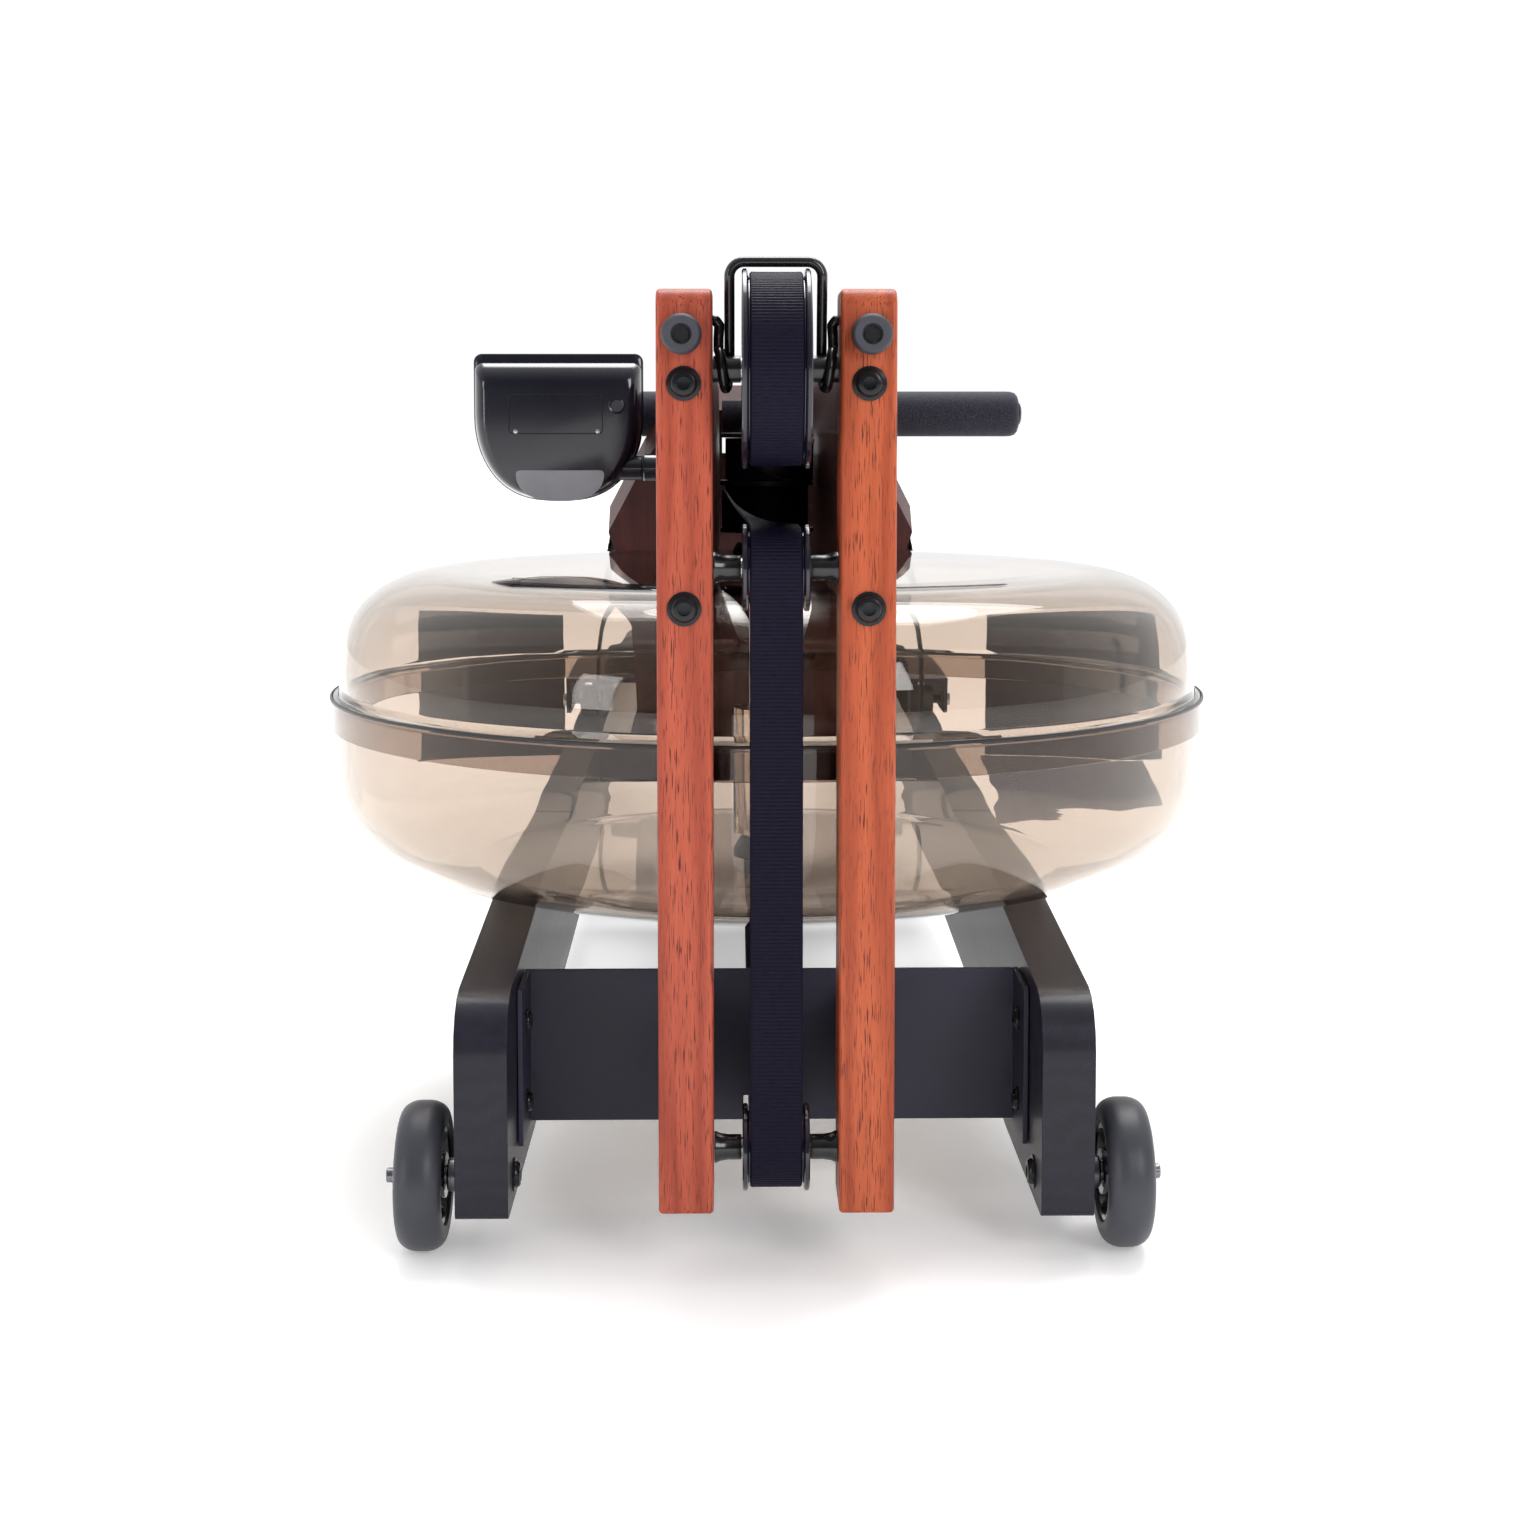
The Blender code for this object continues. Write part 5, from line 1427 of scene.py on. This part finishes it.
def add_pad(place):
    """A foam pad: crowned by cloth pressure, with a moulded shell under it and a seam round it."""
    base = PAD_BASE
    shell = slab(pad_outline(0.001), "Z", base, base + 0.0075, 0.0018, 3)
    add_piece("seat_shell", placed(shell, place), "plastic", "seat")
    bm = slab(pad_outline(0.0045), "Z", base + 0.0080, base + 0.0400, 0.007, 4)
    pad = add_piece("seat_pad_piece", placed(bm, place), "cover", "seat", ("seat_pad",))
    remesh = pad.modifiers.new("remesh", "REMESH")
    remesh.mode = "VOXEL"
    remesh.voxel_size = 0.005
    apply_modifiers(pad)
    inflate(pad, place)
    pad.data.materials.clear()
    pad.data.materials.append(MATERIALS["cover"])
    pad.data.shade_smooth()
    welt = [place @ Vector((x, y, base + 0.0088)) for x, y in pad_outline(0.0028)]
    tube("seat_welt", welt + welt[:1], 0.0016, "cover", "seat", smooth=False)


def inflate(pad, place):
    """Puff the pad's top with cloth pressure; its underside stays on the shell."""
    back = place.inverted()
    group = pad.vertex_groups.new(name="seated")
    before = [vertex.co.copy() for vertex in pad.data.vertices]
    local = [back @ point for point in before]
    low = min(point.z for point in local)
    held = [index for index, point in enumerate(local) if point.z < low + 0.010]
    group.add(held, 1.0, "REPLACE")
    cloth = pad.modifiers.new("cloth", "CLOTH")
    settings = cloth.settings
    settings.quality = 6
    settings.mass = 0.3
    settings.use_pressure = True
    settings.uniform_pressure_force = 4
    settings.tension_stiffness = 30
    settings.compression_stiffness = 30
    settings.bending_stiffness = 2
    settings.effector_weights.gravity = 0
    settings.vertex_group_mass = "seated"
    cloth.point_cache.frame_start = 1
    cloth.point_cache.frame_end = CLOTH_FRAMES
    scene = bpy.context.scene
    for number in range(1, CLOTH_FRAMES + 1):
        scene.frame_set(number)
    apply_modifiers(pad)
    scene.frame_set(1)
    for vertex, start in zip(pad.data.vertices, before):
        moved = vertex.co - start
        if moved.length > MOST_PUFF:
            vertex.co = start + moved.normalized() * MOST_PUFF
    for vertex in pad.data.vertices:
        point = back @ vertex.co
        point.z = min(point.z, PAD_TOP - shaped_top(point.x, point.y))
        vertex.co = place @ point
    divide = pad.modifiers.new("divide", "SUBSURF")
    divide.levels = 1
    divide.render_levels = 1
    apply_modifiers(pad)


def shaped_top(x, y):
    """How far the pad's top lies below its highest level: hollows for each side of the sitter."""
    hollow = math.exp(-((abs(x) - 0.065) / 0.042) ** 2 - ((y - 0.020) / 0.070) ** 2)
    groove = math.exp(-(x / 0.012) ** 2) * min(max((0.10 - y) / 0.10, 0), 1)
    return 0.0080 * hollow + 0.0035 * groove


def add_seat_stops():
    """Rubber stops on the rails' inner faces, before and behind the seat's travel."""
    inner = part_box("right_rail")[0].x
    slope = 0.0349
    below_top = 0.020
    profile = [(0, 0), (0.0085, 0), (0.0085, 0.0080), (0.0070, 0.0100), (0.0040, 0.0105),
               (0.0036, 0.0080), (0, 0.0078)]
    for side, sign in SIDES:
        for end, distance in (("front", 0.902), ("rear", 1.985)):
            height = RAIL_TOP + (distance - RAIL_FRONT) * slope - below_top
            place = Vector((sign * inner, behind(distance), height))
            lathe(f"{side}_{end}_seat_stop", facing(profile, -sign), "X", place, "rubber", "frame",
                  steps=40)


# ---------------------------------------------------------------- studio


def add_stage():
    """A pale floor that runs on out of sight, and dark cards seen only through clear plastic."""
    bm = bmesh.new()
    bmesh.ops.create_grid(bm, x_segments=1, y_segments=1, size=30)
    mesh = bpy.data.meshes.new("floor")
    bm.to_mesh(mesh)
    bm.free()
    floor = bpy.data.objects.new("floor", mesh)
    bpy.context.scene.collection.objects.link(floor)
    paint = Paint("floor_paper", roughness=0.9, Specular_IOR_Level=0.2,
                  Emission_Color=(1.0, 1.0, 1.0, 1.0), Emission_Strength=0.27)
    cloud = paint.noise(paint.stretched((0.6,) * 3), 1.0, 2.0, 0.5)
    mesh.materials.append(paint.finish(paint.ramp(cloud, [(0.3, (0.91, 0.91, 0.91)),
                                                          (0.7, (0.93, 0.93, 0.93))])))
    add_cards()


def add_cards():
    """Two standing dark cards behind the machine and a grey one that lies on the floor."""
    dark = card_paint("card_black", (0.010, 0.009, 0.012), (0.018, 0.016, 0.020))
    y = behind(1.8)
    foot, top = 0.002, 0.284
    for number, (low, high) in enumerate(((-0.464, -0.250), (0.318, 0.611)), 1):
        corners = [(low, y, foot), (high, y, foot), (high, y, top), (low, y, top)]
        add_card(f"card_{number}", corners, dark)
    near, far = behind(1.28), behind(1.79)
    corners = [(0.27, near, foot), (0.50, near, foot), (0.56, far, foot), (0.31, far, foot)]
    grey = card_paint("card_grey", (0.08, 0.08, 0.10), (0.11, 0.11, 0.13))
    add_card("floor_card", corners, grey)


def card_paint(name, low, high):
    """Dull paper whose grey drifts a little."""
    paint = Paint(name, roughness=0.8, Specular_IOR_Level=0.1)
    cloud = paint.noise(paint.stretched((3, 3, 3)), 1.0, 3.0, 0.5)
    return paint.finish(paint.ramp(cloud, [(0.3, low), (0.7, high)]))


def add_card(name, corners, material):
    """A flat sheet behind the machine that only shows through clear plastic."""
    mesh = bpy.data.meshes.new(name)
    mesh.from_pydata(corners, [], [(0, 1, 2, 3)])
    mesh.materials.append(material)
    card = bpy.data.objects.new(name, mesh)
    bpy.context.scene.collection.objects.link(card)
    for rays in ("camera", "diffuse", "glossy", "shadow"):
        setattr(card, f"visible_{rays}", False)


def add_light(name, place, aim, size, power, shape="RECTANGLE", spread=180):
    data = bpy.data.lights.new(name, "AREA")
    data.shape = shape
    data.size, data.size_y = size
    data.energy = power
    data.spread = math.radians(spread)
    item = bpy.data.objects.new(name, data)
    item.location = place
    item.rotation_euler = (Vector(aim) - Vector(place)).to_track_quat("-Z", "Y").to_euler()
    bpy.context.scene.collection.objects.link(item)
    return item


def add_world():
    """A pale studio: bright overhead and behind the machine, dimmer on the camera's side."""
    world = bpy.data.worlds.new("studio")
    bpy.context.scene.world = world
    world.use_nodes = True
    tree = world.node_tree
    background = tree.nodes["Background"]
    coords = tree.nodes.new("ShaderNodeTexCoord")
    split = tree.nodes.new("ShaderNodeSeparateXYZ")
    side = tree.nodes.new("ShaderNodeMapRange")
    levels = {"From Min": -0.9, "From Max": 0.1, "To Min": 0.16, "To Max": 1.12}
    for socket, value in levels.items():
        side.inputs[socket].default_value = value
    tree.links.new(coords.outputs["Generated"], split.inputs["Vector"])
    tree.links.new(split.outputs["Y"], side.inputs["Value"])
    camera_rays = tree.nodes.new("ShaderNodeLightPath")
    mix = tree.nodes.new("ShaderNodeMix")
    mix.inputs["B"].default_value = 1.02
    tree.links.new(camera_rays.outputs["Is Camera Ray"], mix.inputs["Factor"])
    tree.links.new(side.outputs["Result"], mix.inputs["A"])
    background.inputs["Color"].default_value = (1.0, 1.0, 1.0, 1.0)
    tree.links.new(mix.outputs["Result"], background.inputs["Strength"])


def add_lights():
    """Soft light from overhead, the front right and the front left, and a plain view transform."""
    add_light("overhead", (0.2, 0.5, 2.6), (0, -0.5, 0.2), (2.2, 1.6), 40)
    add_light("key", (1.4, -3.4, 1.6), (0, -0.9, 0.3), (0.9, 1.4), 34)
    add_light("fill", (-2.2, -3.0, 1.0), (0, -0.8, 0.3), (0.6, 1.4), 16)
    data = bpy.data.lights.new("soft_sun", "SUN")
    data.energy = 1.5
    data.angle = math.radians(35)
    sun = bpy.data.objects.new("soft_sun", data)
    sun.rotation_euler = (math.radians(-24), math.radians(6), 0)
    bpy.context.scene.collection.objects.link(sun)
    view = bpy.context.scene.view_settings
    view.view_transform = "Standard"
    view.look = "None"
    view.exposure = 0.0
    view.gamma = 1.0


def add_camera():
    """The view from in front of the tank, slightly above it."""
    data = bpy.data.cameras.new("camera")
    data.lens = 52.77
    data.sensor_width = 36.0
    data.shift_y = -0.114
    data.clip_end = 60
    item = bpy.data.objects.new("camera", data)
    item.location = (-0.0221, behind(-1.142), 0.4475)
    item.rotation_euler = (math.radians(90 - 4.31), 0, math.radians(-0.94))
    bpy.context.scene.collection.objects.link(item)
    bpy.context.scene.camera = item


# ---------------------------------------------------------------- the whole scene


add_stage()
add_world()
add_lights()
add_camera()
add_timber()
add_riser_fittings()
add_plate_bolts()
add_tank()
add_plug()
add_rotor()
add_pulleys()
add_straps()
add_guard()
add_wheels()
add_recoil_clip()
add_bungee()
add_handle()
add_monitor()
add_heel_rests()
add_foot_straps()
add_seat()
add_seat_stops()
